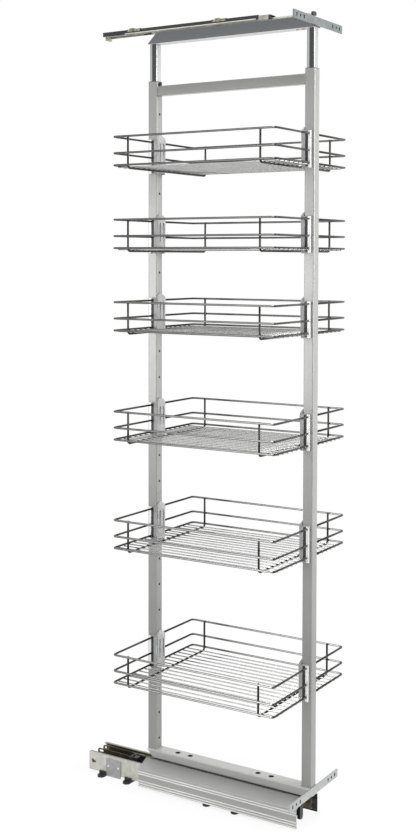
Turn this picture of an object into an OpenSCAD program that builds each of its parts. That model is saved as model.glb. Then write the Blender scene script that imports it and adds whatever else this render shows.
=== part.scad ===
// Pull out larder unit: a tall frame on a telescopic floor runner, guided by a
// telescopic slide under the cabinet top, with six wire baskets hung on pegs.
// Millimetres. X is the width, Y the depth with the door side at -Y, Z is up.
// The origin is on the cabinet floor, under the middle of the floor channel.

/* [Stance] */
// How far the frame stands out of its closed place
pulled_out = 116; // [0:1:430]
// How far the posts stand up out of the uprights
post_out = 91; // [10:1:200]

/* [Uprights] */
// Outer size of the square upright tube
upright_size = 25; // [22:0.5:32]
// Wall of the upright tube
upright_wall = 1.5; // [1:0.1:2]
// Corner radius of the square tubes
tube_corner = 2.5; // [1.6:0.1:4]
// Length of an upright
upright_len = 1640; // [1640:1:1900]
// Distance between the middles of the two uprights
upright_span = 428; // [380:1:480]
// Distance between peg holes
hole_pitch = 64; // [60:1:66]
// Height of the first peg hole above the foot of the upright
first_hole = 26; // [20:1:40]
// Diameter of a peg hole
hole_d = 6; // [5:0.1:8]
// Number of peg holes in an upright
hole_count = 25; // [24:1:25]

/* [Bottom tube] */
// Width of the bottom tube
foot_w = 35; // [30:1:40]
// Height of the bottom tube
foot_h = 20; // [18:1:25]
// Wall of the bottom tube and the top bar
bar_wall = 1.5; // [1:0.1:2]
// Diameter of the tool holes in its top face
tool_hole_d = 13; // [8:0.5:14]

/* [Cross bar] */
// Width of the cross bar
cross_w = 20; // [15:1:24]
// Height of the cross bar
cross_h = 23.5; // [15:0.5:30]
// Distance from the top of the uprights down to the cross bar
cross_drop = 10.5; // [10:0.5:20]

/* [Posts and top bar] */
// Room between a post and the inside of its upright
post_room = 1; // [0.8:0.1:1.4]
// Wall of the post
post_wall = 1.5; // [1:0.1:2]
// Length of a post
post_len = 300; // [260:1:400]
// Width of the top bar
bar_w = 32; // [28:1:36]
// Height of the top bar
bar_h = 27; // [20:1:30]

/* [Baskets] */
// Outer width of a basket
basket_w = 350; // [300:1:360]
// Height of the middle rim above the bottom rim
rim_mid = 28; // [20:1:34]
// Height of the top rim above the bottom rim
rim_top = 66; // [50:1:70]
// Wire diameter of the rims and of the two bows under the floor
rim_d = 5; // [4:0.5:6]
// Wire diameter of the floor
floor_d = 3; // [2:0.5:4]
// Distance between floor wires
floor_pitch = 21.5; // [21:0.5:24]
// Number of floor wires on each side of the middle one
floor_half = 7; // [4:1:7]
// Corner radius of the rims, to the middle of the wire
rim_corner = 8; // [6:1:20]
// Bend radius of the bows, to the middle of the wire
bow_bend = 8; // [6:1:15]
// Distance of a bow from the end of the basket
bow_inset = 42; // [30:1:60]
// How far a floor wire stands out past the end rim
floor_over = 0; // [0:0.5:6]

/* [Basket clips] */
// Depth of the clip's web at its head
clip_depth = 6.5; // [6:0.1:12]
// Depth of the clip's web at its foot
clip_foot_depth = 4.7; // [4.5:0.1:8]
// Half width of the clip at its foot
clip_foot_half = 13; // [13:0.5:15]
// Radius of the clip's round head
clip_head_r = 16.5; // [16:0.5:20.5]
// Height of the clip above the bottom rim
clip_top = 82; // [80:1:92]
// How far the clip reaches below the bottom rim
clip_below = 10; // [9:0.5:14]
// Thickness of a cheek beside the upright
cheek_t = 3.2; // [2.5:0.1:4]
// Length of a cheek along the upright's side
cheek_l = 19.5; // [16:0.5:22]
// Height of the peg above the bottom rim
peg_rise = 68.8; // [66:0.4:72]
// How far a peg stands out of the upright
peg_out = 2.6; // [2.4:0.1:4]
// Play of a peg in its hole and in the clip
peg_play = 0.05; // [0.03:0.01:0.1]
// Thickness of the steel flats that the rims are welded to
flat_t = 2.5; // [2:0.1:3]
// Width of those flats
flat_w = 7; // [6:0.5:10]

/* [Floor channel] */
// Outer width of the floor channel
channel_w = 74; // [74:1:80]
// Height of the floor channel's walls
channel_h = 44.5; // [44.5:0.5:46]
// Length of the floor channel
channel_l = 476; // [460:1:500]
// Sheet thickness of the channel
channel_t = 1.5; // [1.2:0.1:1.8]
// Width of the flange at the top of each wall
channel_flange = 9; // [6:0.5:9]
// Height of the channel above the cabinet floor
channel_lift = 8; // [7:0.5:8]
// Height of the foot of the runner above the channel floor
rail_lift = 2.5; // [2:0.1:3]

/* [Runners] */
// Sheet thickness of the runner profiles
rail_t = 1.3; // [1:0.1:1.5]
// Height of the fixed rail
fixed_rail_h = 37; // [36:0.5:38]
// Diameter of a bearing ball in the floor runner
ball_d = 5; // [4.4:0.1:5]
// Room for a ball between two profiles
ball_room = 5.7; // [5.6:0.1:6]
// Length of the middle rails
middle_rail_l = 440; // [420:1:450]
// Length of the rails under the frame
frame_rail_l = 422; // [400:1:424]
// Half of the free width between the two rails under the frame
rail_gap_half = 20; // [19.9:0.1:20.1]

/* [Covers] */
// Half of the outer width over the covers
cover_half = 53.5; // [52:0.5:58]
// Length of a cover
cover_l = 437; // [400:1:450]
// Height of the lower edge of a cover above the floor
cover_foot = 6; // [5.6:0.1:7]
// Height at which the sloping top of a cover meets its side
cover_knee = 49.5; // [48:0.5:52]
// Wall of a cover
cover_t = 1.6; // [1.4:0.1:2]
// Height of the long ribs on a cover
rib_out = 0.8; // [0.4:0.1:1.2]

/* [Door brackets] */
// Length of a door bracket
bracket_l = 239; // [230:1:280]
// Height of a door bracket
bracket_h = 18.5; // [18:0.5:25]
// Thickness of a door bracket
bracket_t = 2.5; // [1.5:0.1:3]
// Distance of the inner slots from the middle
slot_inner = 70; // [64:1:76]
// Distance of the outer slots from the middle
slot_outer = 105; // [96:1:110]
// Width of a slot
slot_w = 5; // [3.5:0.5:6]
// Length of a slot
slot_l = 9; // [8:1:12]
// Diameter of the round hole between two slots
door_hole_d = 6; // [3:0.5:7]

/* [Top slide] */
// Length of the black cap over the fixed top rail
top_fixed_l = 442; // [420:1:470]
// How far the fixed top rail stands out in front of its cap
top_front_out = 27; // [10:1:40]
// Length of the middle top rail
top_middle_l = 360; // [340:1:380]
// Length of the moving top rail
top_moving_l = 444; // [420:1:460]
// Half width of the fixed top rail
top_half = 12.5; // [12:0.1:14]
// Height of the fixed top rail
top_h = 11; // [10.5:0.1:12]
// Wall of the black cap over the top rail
top_cap_t = 1.5; // [1:0.1:2]
// Diameter of a bearing ball in the top slide
top_ball_d = 2.2; // [2:0.1:2.3]
// Room for a ball in the top slide
top_ball_room = 2.7; // [2.6:0.1:3]

/* [Hidden] */
$fn = 32;
EPS = 0.01;
post_size = upright_size - 2 * (upright_wall + post_room);
basket_l = upright_span + 7;
rim_r = rim_d / 2;
floor_r = floor_d / 2;
weld = 0.5;
clear = 0.3;

// heights of the frame
foot_z = channel_lift + 60;
upright_z = foot_z + foot_h;
upright_top = upright_z + upright_len;
bar_z = upright_top + post_out;
slide_z = bar_z + bar_h;

// places along the depth, from the middle of the frame
upright_in = upright_span / 2 - upright_size / 2;
upright_end = upright_span / 2 + upright_size / 2;
closed_y = 36;
frame_y = -(pulled_out + closed_y);
middle_y = frame_y / 2;

// peg holes that carry the six baskets, from the top basket down
basket_holes = [23, 20, 17, 13, 9, 4];
function hole_z(n) = upright_z + first_hole + n * hole_pitch;
function basket_z(n) = hole_z(basket_holes[n - 1]) - peg_rise;

// heights of the wires of a basket, from the middle of the bottom rim
floor_wire_z = -(rim_r + floor_r - weld);
bow_z = floor_wire_z - (rim_r + floor_r - weld);

// widths of the basket's parts
rim_x = basket_w / 2 - rim_r;
rim_y = basket_l / 2 - rim_r;
bow_x = rim_x - rim_d + weld;
cheek_in = upright_size / 2 + clear;
cheek_x = cheek_in + cheek_t;

// floor runner, from the channel wall inwards
channel_in = channel_w / 2 - channel_t;
rail_z = channel_lift + channel_t + rail_lift;
rail_top = rail_z + fixed_rail_h;
fixed_rail_l = channel_l - 6;
arm = 6.6;
middle_arm = 6.5;
middle_inner_arm = 5.4;
frame_arm = 6.4;
outer_arm_low = rail_z + rail_t + ball_room;
outer_arm_high = rail_top - rail_t - ball_room;
middle_web_x = 27;
middle_inner_low = outer_arm_low - 1;
middle_inner_high = outer_arm_high + 6;
frame_arm_low = middle_inner_low + rail_t + ball_room;
frame_arm_high = middle_inner_high - rail_t - ball_room;
carriage_t = 2;
carriage_z = foot_z - carriage_t;
carriage_half = 20;
carriage_front = -frame_rail_l / 2 + 46;
carriage_rear = frame_rail_l / 2 + 5;
outer_ball_x = channel_in - rail_t - 2.9;
inner_ball_x = (rail_gap_half + rail_t + middle_web_x) / 2;
ball_step = middle_rail_l / 16;

// damper bracket and soft close at the rear of the channel
damper_half = 12;
damper_t = 1.5;
damper_rear = channel_l / 2 - 8;
damper_l = 119;
damper_front = damper_rear - damper_l;
damper_top = 55.3;
damper_axis_z = 30;
cylinder_d = 12;
cylinder_l = 53;
rod_d = 5;
soft_travel = 45;
slider_top = 51.5;

// floor clips
clip_places = [195, 117, -117, -195];
pad_h = 4.5;
pad_out = 54;
pad_w = 20;
floor_screw_x = 48;
floor_screw_d = 4.2;

// top slide
cap_z = slide_z + 3;
top_z = slide_z + 1;
top_side = top_half - rail_t;
top_mid_half = top_side - top_ball_room;
top_mid_side = top_mid_half - rail_t;
top_run_half = top_mid_side - top_ball_room;
top_fixed_y = -11;
top_middle_y = frame_y / 2 - 4;
top_end_l = round(top_middle_l * 0.06);
top_ball_step = top_middle_l / 22.5;
top_short = 8;

ZINC = "#c0c2ba";
PAINT = "#a9aaa7";
ALU = "#b4b5b3";
CHROME = "#8d8f90";
BLACK = "#26282a";
PLASTIC = "#cfd2d0";

// ---- shared shapes ----

// rectangle with round corners, centred
module round_rect(w, h, r) {
  square([w - 2 * r, h], center = true);
  square([w, h - 2 * r], center = true);
  for (x = [-1, 1], y = [-1, 1])
    translate([x * (w / 2 - r), y * (h / 2 - r)]) circle(r);
}

// section of a rectangular tube
module tube_section(w, h, wall, r) {
  difference() {
    round_rect(w, h, r);
    round_rect(w - 2 * wall, h - 2 * wall, max(r - wall, 0.5));
  }
}

// solid of a section drawn in X and Z, running along Y from y0 to y1
module along_y(y0, y1) {
  translate([0, y1, 0]) rotate([90, 0, 0]) linear_extrude(y1 - y0) children();
}

// round bar along X, Y or Z
module bar_x(x0, x1, d) {
  translate([x0, 0, 0]) rotate([0, 90, 0]) cylinder(d = d, h = x1 - x0);
}
module bar_y(y0, y1, d) {
  translate([0, y1, 0]) rotate([90, 0, 0]) cylinder(d = d, h = y1 - y0);
}
module bar_zz(z0, z1, d) {
  translate([0, 0, z0]) cylinder(d = d, h = z1 - z0);
}

// quarter bend of a wire in the XY plane, round the origin, first quadrant
module elbow(r, d) {
  rotate_extrude(angle = 90) translate([r, 0]) circle(d / 2);
}

// U section with its web at the bottom
module u_section(half, h) {
  polygon([[-half, 0], [half, 0], [half, h], [half - rail_t, h], [half - rail_t, rail_t],
    [-half + rail_t, rail_t], [-half + rail_t, h], [-half, h]]);
}

module both_sides() {
  children();
  mirror([1, 0, 0]) children();
}

module both_ends() {
  children();
  mirror([0, 1, 0]) children();
}

// ---- floor channel and what it holds ----

module channel_section() {
  z1 = channel_h;
  w = channel_w / 2;
  both_sides() {
    translate([0, 0]) square([w, channel_t]);
    translate([w - channel_t, 0]) square([channel_t, z1]);
    translate([w - channel_flange, z1 - channel_t]) square([channel_flange, channel_t]);
  }
}

module floor_channel() color(ZINC) {
  difference() {
    translate([0, 0, channel_lift]) along_y(-channel_l / 2, channel_l / 2) channel_section();
    // opening near the rear end of each wall
    translate([-channel_w, channel_l / 2 - 14, channel_lift + 22]) rotate([90, 0, 90])
      linear_extrude(2 * channel_w) {
        round_rect(12, 6, 2.5);
        translate([2.5, 1]) round_rect(6, 10, 2.5);
      }
  }
}

// one clip under the left wall: foot, riser and hook
module floor_clip() {
  wall_x = channel_w / 2;
  difference() {
    union() {
      linear_extrude(pad_h) {
        translate([-pad_out + pad_w / 2, 0]) circle(pad_w / 2);
        translate([-pad_out + pad_w / 2, -pad_w / 2])
          square([pad_out - pad_w / 2 - 20, pad_w]);
      }
      translate([-wall_x, -pad_w / 2, 0]) cube([wall_x - 20, pad_w, channel_lift]);
      translate([-wall_x - 3, -pad_w / 2, 0]) cube([3, pad_w, channel_lift + 4]);
    }
    translate([-floor_screw_x, 0, -1]) cylinder(d = floor_screw_d, h = pad_h + 2);
  }
}

module floor_clips() color(BLACK) {
  for (y = clip_places) translate([0, y, 0]) both_sides() floor_clip();
}

plate_y = 162;
plate_w = 45;
plate_h = 45;
plate_z = 2 + plate_h / 2;
plate_t = 1.5;
rivet_step = 31;
rivet_hole_d = 4;

module side_plate() {
  translate([-channel_w / 2 - plate_t, plate_y, plate_z])
    rotate([90, 0, 90]) linear_extrude(plate_t) difference() {
      round_rect(plate_w, plate_h, 3);
      for (s = [-1, 1]) translate([s * rivet_step / 2, 2]) circle(d = rivet_hole_d);
    }
}

module channel_side_plates() color("#a3a5a4") both_sides() side_plate();

// dome head outside, shank up to the wall
module rivet() {
  rotate([0, -90, 0]) {
    translate([0, 0, 0]) cylinder(d = rivet_hole_d - 0.1, h = plate_t);
    translate([0, 0, plate_t]) cylinder(d1 = 7, d2 = 4.6, h = 1.6);
  }
}

module channel_rivets() color("#d5d6d2")
  both_sides() for (s = [-1, 1])
    translate([-channel_w / 2, plate_y + s * rivet_step / 2, plate_z + 2])
      rivet();

// C section standing on edge, open towards the middle
module fixed_rail() {
  along_y(-fixed_rail_l / 2, fixed_rail_l / 2) {
    translate([channel_in - rail_t, rail_z]) square([rail_t, fixed_rail_h]);
    for (z = [rail_z, rail_top - rail_t])
      translate([channel_in - arm, z]) square([arm, rail_t]);
  }
  translate([channel_in - 5, -fixed_rail_l / 2, channel_lift + channel_t])
    cube([5, fixed_rail_l, rail_lift]);
}

module fixed_rail_right() color(ZINC) fixed_rail();
module fixed_rail_left() color(ZINC) mirror([1, 0, 0]) fixed_rail();

// side outline of the damper bracket, in Y and Z
module damper_outline() {
  r = 6;
  base = channel_lift + channel_t;
  polygon([[damper_front, base], [damper_rear, base], [damper_rear, damper_top - r],
    [damper_rear - r, damper_top], [damper_front + 26, damper_top],
    [damper_front, 40]]);
  translate([damper_rear - r, damper_top - r]) circle(r);
}

slot_y = damper_rear - 12;

module damper_bracket() color(ZINC) {
  both_sides() translate([damper_half - damper_t, 0, 0]) rotate([90, 0, 90])
    linear_extrude(damper_t) difference() {
      damper_outline();
      translate([slot_y, damper_top - 6]) round_rect(14, 5, 2.4);
    }
  translate([-damper_half, damper_front, channel_lift + channel_t])
    cube([2 * damper_half, damper_l, damper_t]);
  // rear saddle that holds the cylinder
  difference() {
    translate([-damper_half + EPS, damper_rear - 10, channel_lift + channel_t])
      cube([2 * damper_half - 2 * EPS, 6, damper_axis_z - channel_lift - channel_t]);
    translate([0, 0, damper_axis_z]) bar_y(damper_rear - 12, damper_rear - 2, cylinder_d + 0.1);
  }
}

module damper_cylinder() color(BLACK) translate([0, 0, damper_axis_z]) difference() {
  union() {
    bar_y(damper_rear - 3.5 - cylinder_l, damper_rear - 3.5, cylinder_d);
    bar_y(damper_rear - 3.5 - cylinder_l, damper_rear - cylinder_l, cylinder_d + 2);
  }
  bar_y(damper_rear - 4.5 - cylinder_l, damper_rear - 6.5, rod_d + 0.12);
}

rod_front = damper_front + 4;
rod_rear = damper_rear - 3.5 - cylinder_l + 4;

module damper_rod() color("#d9dbdc") translate([0, 0, damper_axis_z])
  bar_y(rod_front, rod_rear, rod_d);

// slider over the rod's head, with the notch that takes the catch
module latch_slider() color(BLACK) difference() {
  union() {
    translate([-8, damper_front, damper_axis_z - 6]) cube([16, 8, slider_top - damper_axis_z + 6]);
    translate([-8, damper_front, slider_top - 9]) cube([16, 24, 9]);
  }
  translate([-5, damper_front + 11, slider_top - 5]) cube([10, 6, 6]);
  translate([0, 0, damper_axis_z]) bar_y(rod_front, damper_front + 20, rod_d + 0.1);
}

// ---- middle member and ball cages ----

// section of the middle rail: web, two arms outwards, two arms inwards
module middle_section() {
  translate([middle_web_x, middle_inner_low])
    square([rail_t, middle_inner_high - middle_inner_low]);
  for (z = [outer_arm_low, outer_arm_high - rail_t])
    translate([middle_web_x, z]) square([middle_arm, rail_t]);
  for (z = [middle_inner_low, middle_inner_high - rail_t])
    translate([middle_web_x - middle_inner_arm, z]) square([middle_inner_arm + EPS, rail_t]);
}

module middle_rail() {
  along_y(middle_y - middle_rail_l / 2, middle_y + middle_rail_l / 2) middle_section();
}

// the left one carries two flat ties that join it to the right one
module middle_rail_right() color(ZINC) middle_rail();
module middle_rail_left() color(ZINC) {
  mirror([1, 0, 0]) middle_rail();
  for (part = [-0.34, 0.14]) translate([-middle_web_x, middle_y + part * middle_rail_l,
    middle_inner_low - 1.2]) cube([2 * middle_web_x, 20, 1.2]);
}

// strip of balls along Y; room runs along Z, or along X when flat is true
module ball_strip(n, step, d, strip_w, strip_t, flat) {
  l = (n + 1) * step;
  translate(flat ? [-strip_t / 2, -l / 2, -strip_w / 2] : [-strip_w / 2, -l / 2, -strip_t / 2])
    cube(flat ? [strip_t, l, strip_w] : [strip_w, l, strip_t]);
  for (i = [0 : n - 1]) translate([0, (i - (n - 1) / 2) * step, 0]) sphere(d / 2);
}

module outer_ball_cages() color("#8f7a4a")
  translate([0, frame_y / 4, 0]) both_sides()
    for (z = [rail_z + rail_t + ball_room / 2, rail_top - rail_t - ball_room / 2])
      translate([outer_ball_x, 0, z]) ball_strip(6, ball_step, ball_d, 3.6, 2, false);

module inner_ball_cages() color("#8f7a4a")
  translate([0, frame_y * 3 / 4, 0]) both_sides()
    for (z = [middle_inner_low + rail_t + ball_room / 2, middle_inner_high - rail_t - ball_room / 2])
      translate([inner_ball_x, 0, z]) ball_strip(6, ball_step, ball_d, 3.6, 2, false);

// ---- carriage under the frame ----

// web with two arms outwards, drawn in above the middle rails to carry the plate
neck_half = 13;
neck_z = carriage_z - 6;
module frame_rail() {
  along_y(-frame_rail_l / 2, frame_rail_l / 2) {
    translate([rail_gap_half, frame_arm_low]) square([rail_t, neck_z - frame_arm_low]);
    translate([neck_half, neck_z - rail_t]) square([rail_gap_half + rail_t - neck_half, rail_t]);
    translate([neck_half, neck_z - rail_t]) square([rail_t, carriage_z - neck_z + rail_t]);
    for (z = [frame_arm_low, frame_arm_high - rail_t])
      translate([rail_gap_half, z]) square([frame_arm, rail_t]);
  }
}

module frame_rail_right() color(ALU) translate([0, frame_y, 0]) frame_rail();
module frame_rail_left() color(ALU) translate([0, frame_y, 0]) mirror([1, 0, 0]) frame_rail();

carriage_screw_y = [146, 110, -80, -116];
carriage_screw_d = 5;

module carriage_plate() color(ZINC) translate([0, frame_y, 0]) difference() {
  translate([-carriage_half, carriage_front, carriage_z])
    cube([2 * carriage_half, carriage_rear - carriage_front, carriage_t]);
  for (y = carriage_screw_y) translate([0, y, carriage_z - 1])
    cylinder(d = carriage_screw_d + 0.1, h = carriage_t + 2);
  for (x = [-17.2, 17.2], y = cover_screw_y) translate([x, y, carriage_z - 1])
    cylinder(d = 3.1, h = carriage_t + 2);
}

// screws that hold the bottom tube on the carriage, heads inside the tube
module carriage_screws() color("#b9bbba") translate([0, frame_y, 0])
  for (y = carriage_screw_y) translate([0, y, 0]) {
    bar_zz(carriage_z - 3, foot_z + bar_wall, carriage_screw_d);
    difference() {
      bar_zz(foot_z + bar_wall, foot_z + bar_wall + 3, 9);
      translate([0, 0, foot_z + bar_wall + 1.4]) cylinder(d = 4, h = 2, $fn = 6);
    }
    translate([0, 0, carriage_z - 4]) cylinder(d = 9, h = 4, $fn = 6);
  }

module damper_catch() color(BLACK) translate([0, frame_y, 0]) {
  translate([-9, carriage_rear - 16, carriage_z - 2.2]) cube([18, 14, 2.2]);
  translate([-4, carriage_rear - 11, slider_top + 1.2])
    cube([8, 4, carriage_z - 2 - slider_top - 1.2]);
}

// block that closes the left rails at the front, slotted over the frame rail's arms
buffer_t = 8;
module rail_front_buffer() color(BLACK) translate([0, frame_y - frame_rail_l / 2, 0])
  translate([0, buffer_t, 0]) rotate([90, 0, 0]) linear_extrude(buffer_t) difference() {
    union() {
      translate([-35, 24]) square([35 - rail_gap_half - rail_t, 28]);
      translate([-30.6, 24]) circle(4.4);
      translate([-30.6, 19.6]) square([30.6 - rail_gap_half - rail_t, 5]);
    }
    for (z = [frame_arm_low, frame_arm_high - rail_t])
      translate([-rail_gap_half - frame_arm - 0.1, z - 0.05]) square([frame_arm, rail_t + 0.1]);
  }

// ---- covers ----

cover_screw_y = [150, -8, -140];

// heights of the long ribs on a cover, from the top down
cover_ribs = [cover_knee - 6, cover_knee - 11.5, cover_knee - 17,
  cover_foot + 14.5, cover_foot + 8, cover_foot + 1.5];

// section of the right cover: lip, slope, ribbed side
module cover_section() {
  k = cover_t;
  top = carriage_z;
  x1 = cover_half + rib_out;
  x2 = cover_half - k;
  polygon(concat([[14.6, top], [20.5, top], [cover_half, cover_knee]],
    [for (z = cover_ribs) for (p = [[cover_half, z + 1.5], [x1, z + 0.8], [x1, z - 0.8],
      [cover_half, z - 1.5]]) p],
    [for (i = [5 : -1 : 0]) for (p = [[x2, cover_ribs[i] - 1.5],
      [x2 - rib_out, cover_ribs[i] - 0.8], [x2 - rib_out, cover_ribs[i] + 0.8],
      [x2, cover_ribs[i] + 1.5]]) p],
    [[x2, cover_knee - 0.55 * k],
    [20, top - k], [14.6, top - k]]));
}

module cover() difference() {
  along_y(-cover_l / 2, cover_l / 2) cover_section();
  for (y = cover_screw_y) translate([17.2, y - cover_shift, carriage_z - 4]) cylinder(d = 3.1, h = 8);
}

cover_shift = 8;
module right_cover() color(ALU) translate([0, frame_y + cover_shift, 0]) cover();
module left_cover() color(ALU) translate([0, frame_y + cover_shift, 0]) mirror([1, 0, 0]) cover();

module cover_screws() color("#b9bbba") translate([0, frame_y, 0])
  for (x = [-17.2, 17.2], y = cover_screw_y) translate([x, y, 0]) {
    bar_zz(carriage_z - cover_t, carriage_z + carriage_t - 0.2, 3);
    bar_zz(carriage_z - cover_t - 1.6, carriage_z - cover_t, 5);
  }

// ---- frame ----

// bar with both ends cut at 45 degrees; longest at the bottom when up is true
module mitred_bar(w, h, half, up) {
  difference() {
    along_y(-half, half) translate([0, h / 2]) tube_section(w, h, bar_wall, tube_corner);
    both_ends() translate([0, half, up ? 0 : h]) rotate([up ? 45 : -45, 0, 0])
      translate([-w, 0, -2 * h]) cube([2 * w, 2 * h, 4 * h]);
  }
}

module bottom_tube() color(PAINT) translate([0, frame_y, foot_z]) difference() {
  mitred_bar(foot_w, foot_h, upright_end, false);
  for (y = carriage_screw_y) translate([0, y, 0]) {
    bar_zz(foot_h / 2, foot_h + 1, tool_hole_d);
    bar_zz(-1, foot_h / 2, carriage_screw_d + 0.1);
  }
  for (y = bracket_screw_y) translate([0, -y, -1]) cylinder(d = bracket_screw_d + 0.1, h = 4);
}

module upright() difference() {
  translate([0, upright_span / 2, upright_z]) linear_extrude(upright_len)
    tube_section(upright_size, upright_size, upright_wall, tube_corner);
  for (n = [0 : hole_count - 1]) translate([0, 0, hole_z(n)])
    bar_y(upright_in - 1, upright_in + upright_wall + 1, hole_d);
  translate([0, 0, clamp_z]) bar_y(upright_in - 1, upright_in + upright_wall + 1, clamp_d + 0.1);
}

module rear_upright() color(PAINT) translate([0, frame_y, 0]) upright();
module front_upright() color(PAINT) translate([0, frame_y, 0]) mirror([0, 1, 0]) upright();

module cross_bar() color(PAINT)
  translate([0, frame_y, upright_top - cross_drop - cross_h / 2])
    along_y(-upright_in, upright_in) tube_section(cross_w, cross_h, upright_wall, tube_corner);

// peg with a collar inside the tube, thin enough for the post to pass
module peg() {
  d = hole_d - 2 * peg_play;
  collar = post_room - 0.3;
  bar_y(upright_in - peg_out, upright_in + upright_wall + collar, d);
  bar_y(upright_in + upright_wall, upright_in + upright_wall + collar, d + 3);
}

module basket_pegs() color("#d0d2d3") translate([0, frame_y, 0])
  for (n = [1 : 6]) both_ends() translate([0, 0, hole_z(basket_holes[n - 1])]) peg();

clamp_d = 5;
clamp_z = upright_top - 4.6;
bush_h = 26;
bush_lip = 1.2;
bush_play = 0.1;

module post_bush() difference() {
  union() {
    translate([0, upright_span / 2, upright_top]) linear_extrude(bush_lip)
      round_rect(upright_size, upright_size, tube_corner);
    translate([0, upright_span / 2, upright_top - bush_h]) linear_extrude(bush_h)
      round_rect(upright_size - 2 * upright_wall - 0.2, upright_size - 2 * upright_wall - 0.2, 1);
  }
  translate([0, upright_span / 2, upright_top - bush_h - 1]) linear_extrude(bush_h + 5)
    round_rect(post_size + 2 * bush_play, post_size + 2 * bush_play, 1.2);
  translate([0, 0, clamp_z]) bar_y(upright_in - 1, upright_span / 2, clamp_d + 0.1);
}

module post_bushes() color("#3a3c3e") translate([0, frame_y, 0]) both_ends() post_bush();

// grub screw with a black head that locks the post
module clamp_screws() color(BLACK) translate([0, frame_y, 0]) both_ends()
  translate([0, 0, clamp_z]) {
    bar_y(upright_in, upright_span / 2 - post_size / 2 - 0.1, clamp_d);
    difference() {
      bar_y(upright_in - 3.5, upright_in, 9);
      translate([0, upright_in - 4, 0]) rotate([-90, 0, 0]) cylinder(d = 4.4, h = 2.5, $fn = 6);
    }
  }

// ---- door brackets ----

bracket_screw_y = [upright_end - 36.5, upright_end - 50.5];
bracket_screw_d = 4;
tongue_w = 22;
tongue_end = upright_end - 58.5;

// plate with slots and a tongue that enters the bar;
// origin: the bar's floor inside, at the bar's front end
module door_bracket(end_y, floor_t) {
  difference() {
    union() {
      translate([-bracket_l / 2, -end_y - bracket_t, -floor_t])
        cube([bracket_l, bracket_t, bracket_h]);
      translate([-tongue_w / 2, -end_y - bracket_t, 0])
        cube([tongue_w, end_y + bracket_t - tongue_end, bracket_t]);
      translate([-tongue_w / 2, -end_y - bracket_t, 0])
        cube([tongue_w, bracket_t, bracket_h / 2]);
    }
    for (x = [-slot_outer, -slot_inner, slot_inner, slot_outer])
      translate([x, 0, bracket_h / 2 - floor_t]) {
        for (s = [-1, 1]) translate([0, 0, s * (slot_l - slot_w) / 2])
          bar_y(-end_y - bracket_t - 1, -end_y + 1, slot_w);
        translate([-slot_w / 2, -end_y - bracket_t - 1, -(slot_l - slot_w) / 2])
          cube([slot_w, bracket_t + 2, slot_l - slot_w]);
      }
    for (s = [-1, 1]) translate([s * (slot_inner + slot_outer) / 2, 0, bracket_h / 2 - floor_t])
      bar_y(-end_y - bracket_t - 1, -end_y + 1, door_hole_d);
    for (y = bracket_screw_y) translate([0, -y, -1]) cylinder(d = bracket_screw_d + 0.1, h = bracket_t + 2);
  }
}

module bottom_door_bracket() color("#b3b9ba")
  translate([0, frame_y, foot_z + bar_wall]) door_bracket(upright_end + 0.5, -1.5);

module top_door_bracket() color("#a3aaab")
  translate([0, frame_y, bar_z + bar_wall]) door_bracket(upright_end + 0.5, -1.8);

module bracket_screw(z) {
  translate([0, 0, z]) {
    bar_zz(0, bar_wall + bracket_t + 1.5, bracket_screw_d);
    bar_zz(-2, 0, 7.5);
  }
}

module bottom_bracket_screws() color("#b9bbba") translate([0, frame_y, 0])
  for (y = bracket_screw_y) translate([0, -y, 0]) bracket_screw(foot_z);
module top_bracket_screws() color("#b9bbba") translate([0, frame_y, 0])
  for (y = bracket_screw_y) translate([0, -y, 0]) bracket_screw(bar_z);

// ---- posts, top bar and top slide ----

module post() translate([0, upright_span / 2, bar_z - post_len]) linear_extrude(post_len)
  tube_section(post_size, post_size, post_wall, 1.6);

module rear_post() color("#c9cbcc") translate([0, frame_y, 0]) post();
module front_post() color("#c9cbcc") translate([0, frame_y, 0]) mirror([0, 1, 0]) post();

module top_bar() color("#7d7f80") translate([0, frame_y, bar_z]) difference() {
  mitred_bar(bar_w, bar_h, upright_end, true);
  for (y = bracket_screw_y) translate([0, -y, -1]) cylinder(d = bracket_screw_d + 0.1, h = 4);
}

// inner profile of the top slide, screwed flat on the top bar
module top_moving_rail() color(ZINC) translate([0, frame_y, slide_z])
  along_y(-top_moving_l / 2 + top_short, top_moving_l / 2) u_section(top_run_half, 6);

module top_rail_end_cap() color(BLACK)
translate([0, frame_y - top_moving_l / 2 + top_short, slide_z]) {
  along_y(-6, 0) polygon([[-8, 1], [8, 1], [8, 7.2], [5.4, 9.6], [-5.4, 9.6], [-8, 7.2]]);
  translate([-top_run_half + rail_t + 0.1, -0.5, rail_t + 0.1])
    cube([2 * (top_run_half - rail_t - 0.1), 12, 3]);
}

module top_middle_rail() color("#d0d2d0") translate([0, top_middle_y, top_z + 1.5])
  along_y(-top_middle_l / 2 + 3, top_middle_l / 2 - top_end_l)
    translate([0, 6.2]) mirror([0, 1]) u_section(top_mid_half, 6.2);

// dark end pieces of the middle rail; the rear one has a leg on each side
module top_middle_ends() color(BLACK) translate([0, top_middle_y, top_z + 1.5]) {
  translate([-top_mid_half, -top_middle_l / 2, 3.9]) cube([2 * top_mid_half, 3, 2.3]);
  translate([-top_mid_half, top_middle_l / 2 - top_end_l, 3.9])
    cube([2 * top_mid_half, top_end_l, 2.3]);
  both_sides() translate([top_run_half + 0.7, top_middle_l / 2 - top_end_l, -1.9])
    cube([top_mid_half - top_run_half - 0.7, top_end_l, 6.2]);
}

module top_outer_ball_cages() color("#8f7a4a")
  translate([0, (top_fixed_y + top_middle_y) / 2, top_z + 4.6]) both_sides()
    translate([top_side - top_ball_room / 2, 0, 0]) ball_strip(6, top_ball_step, top_ball_d, 3, 1, true);

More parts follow.
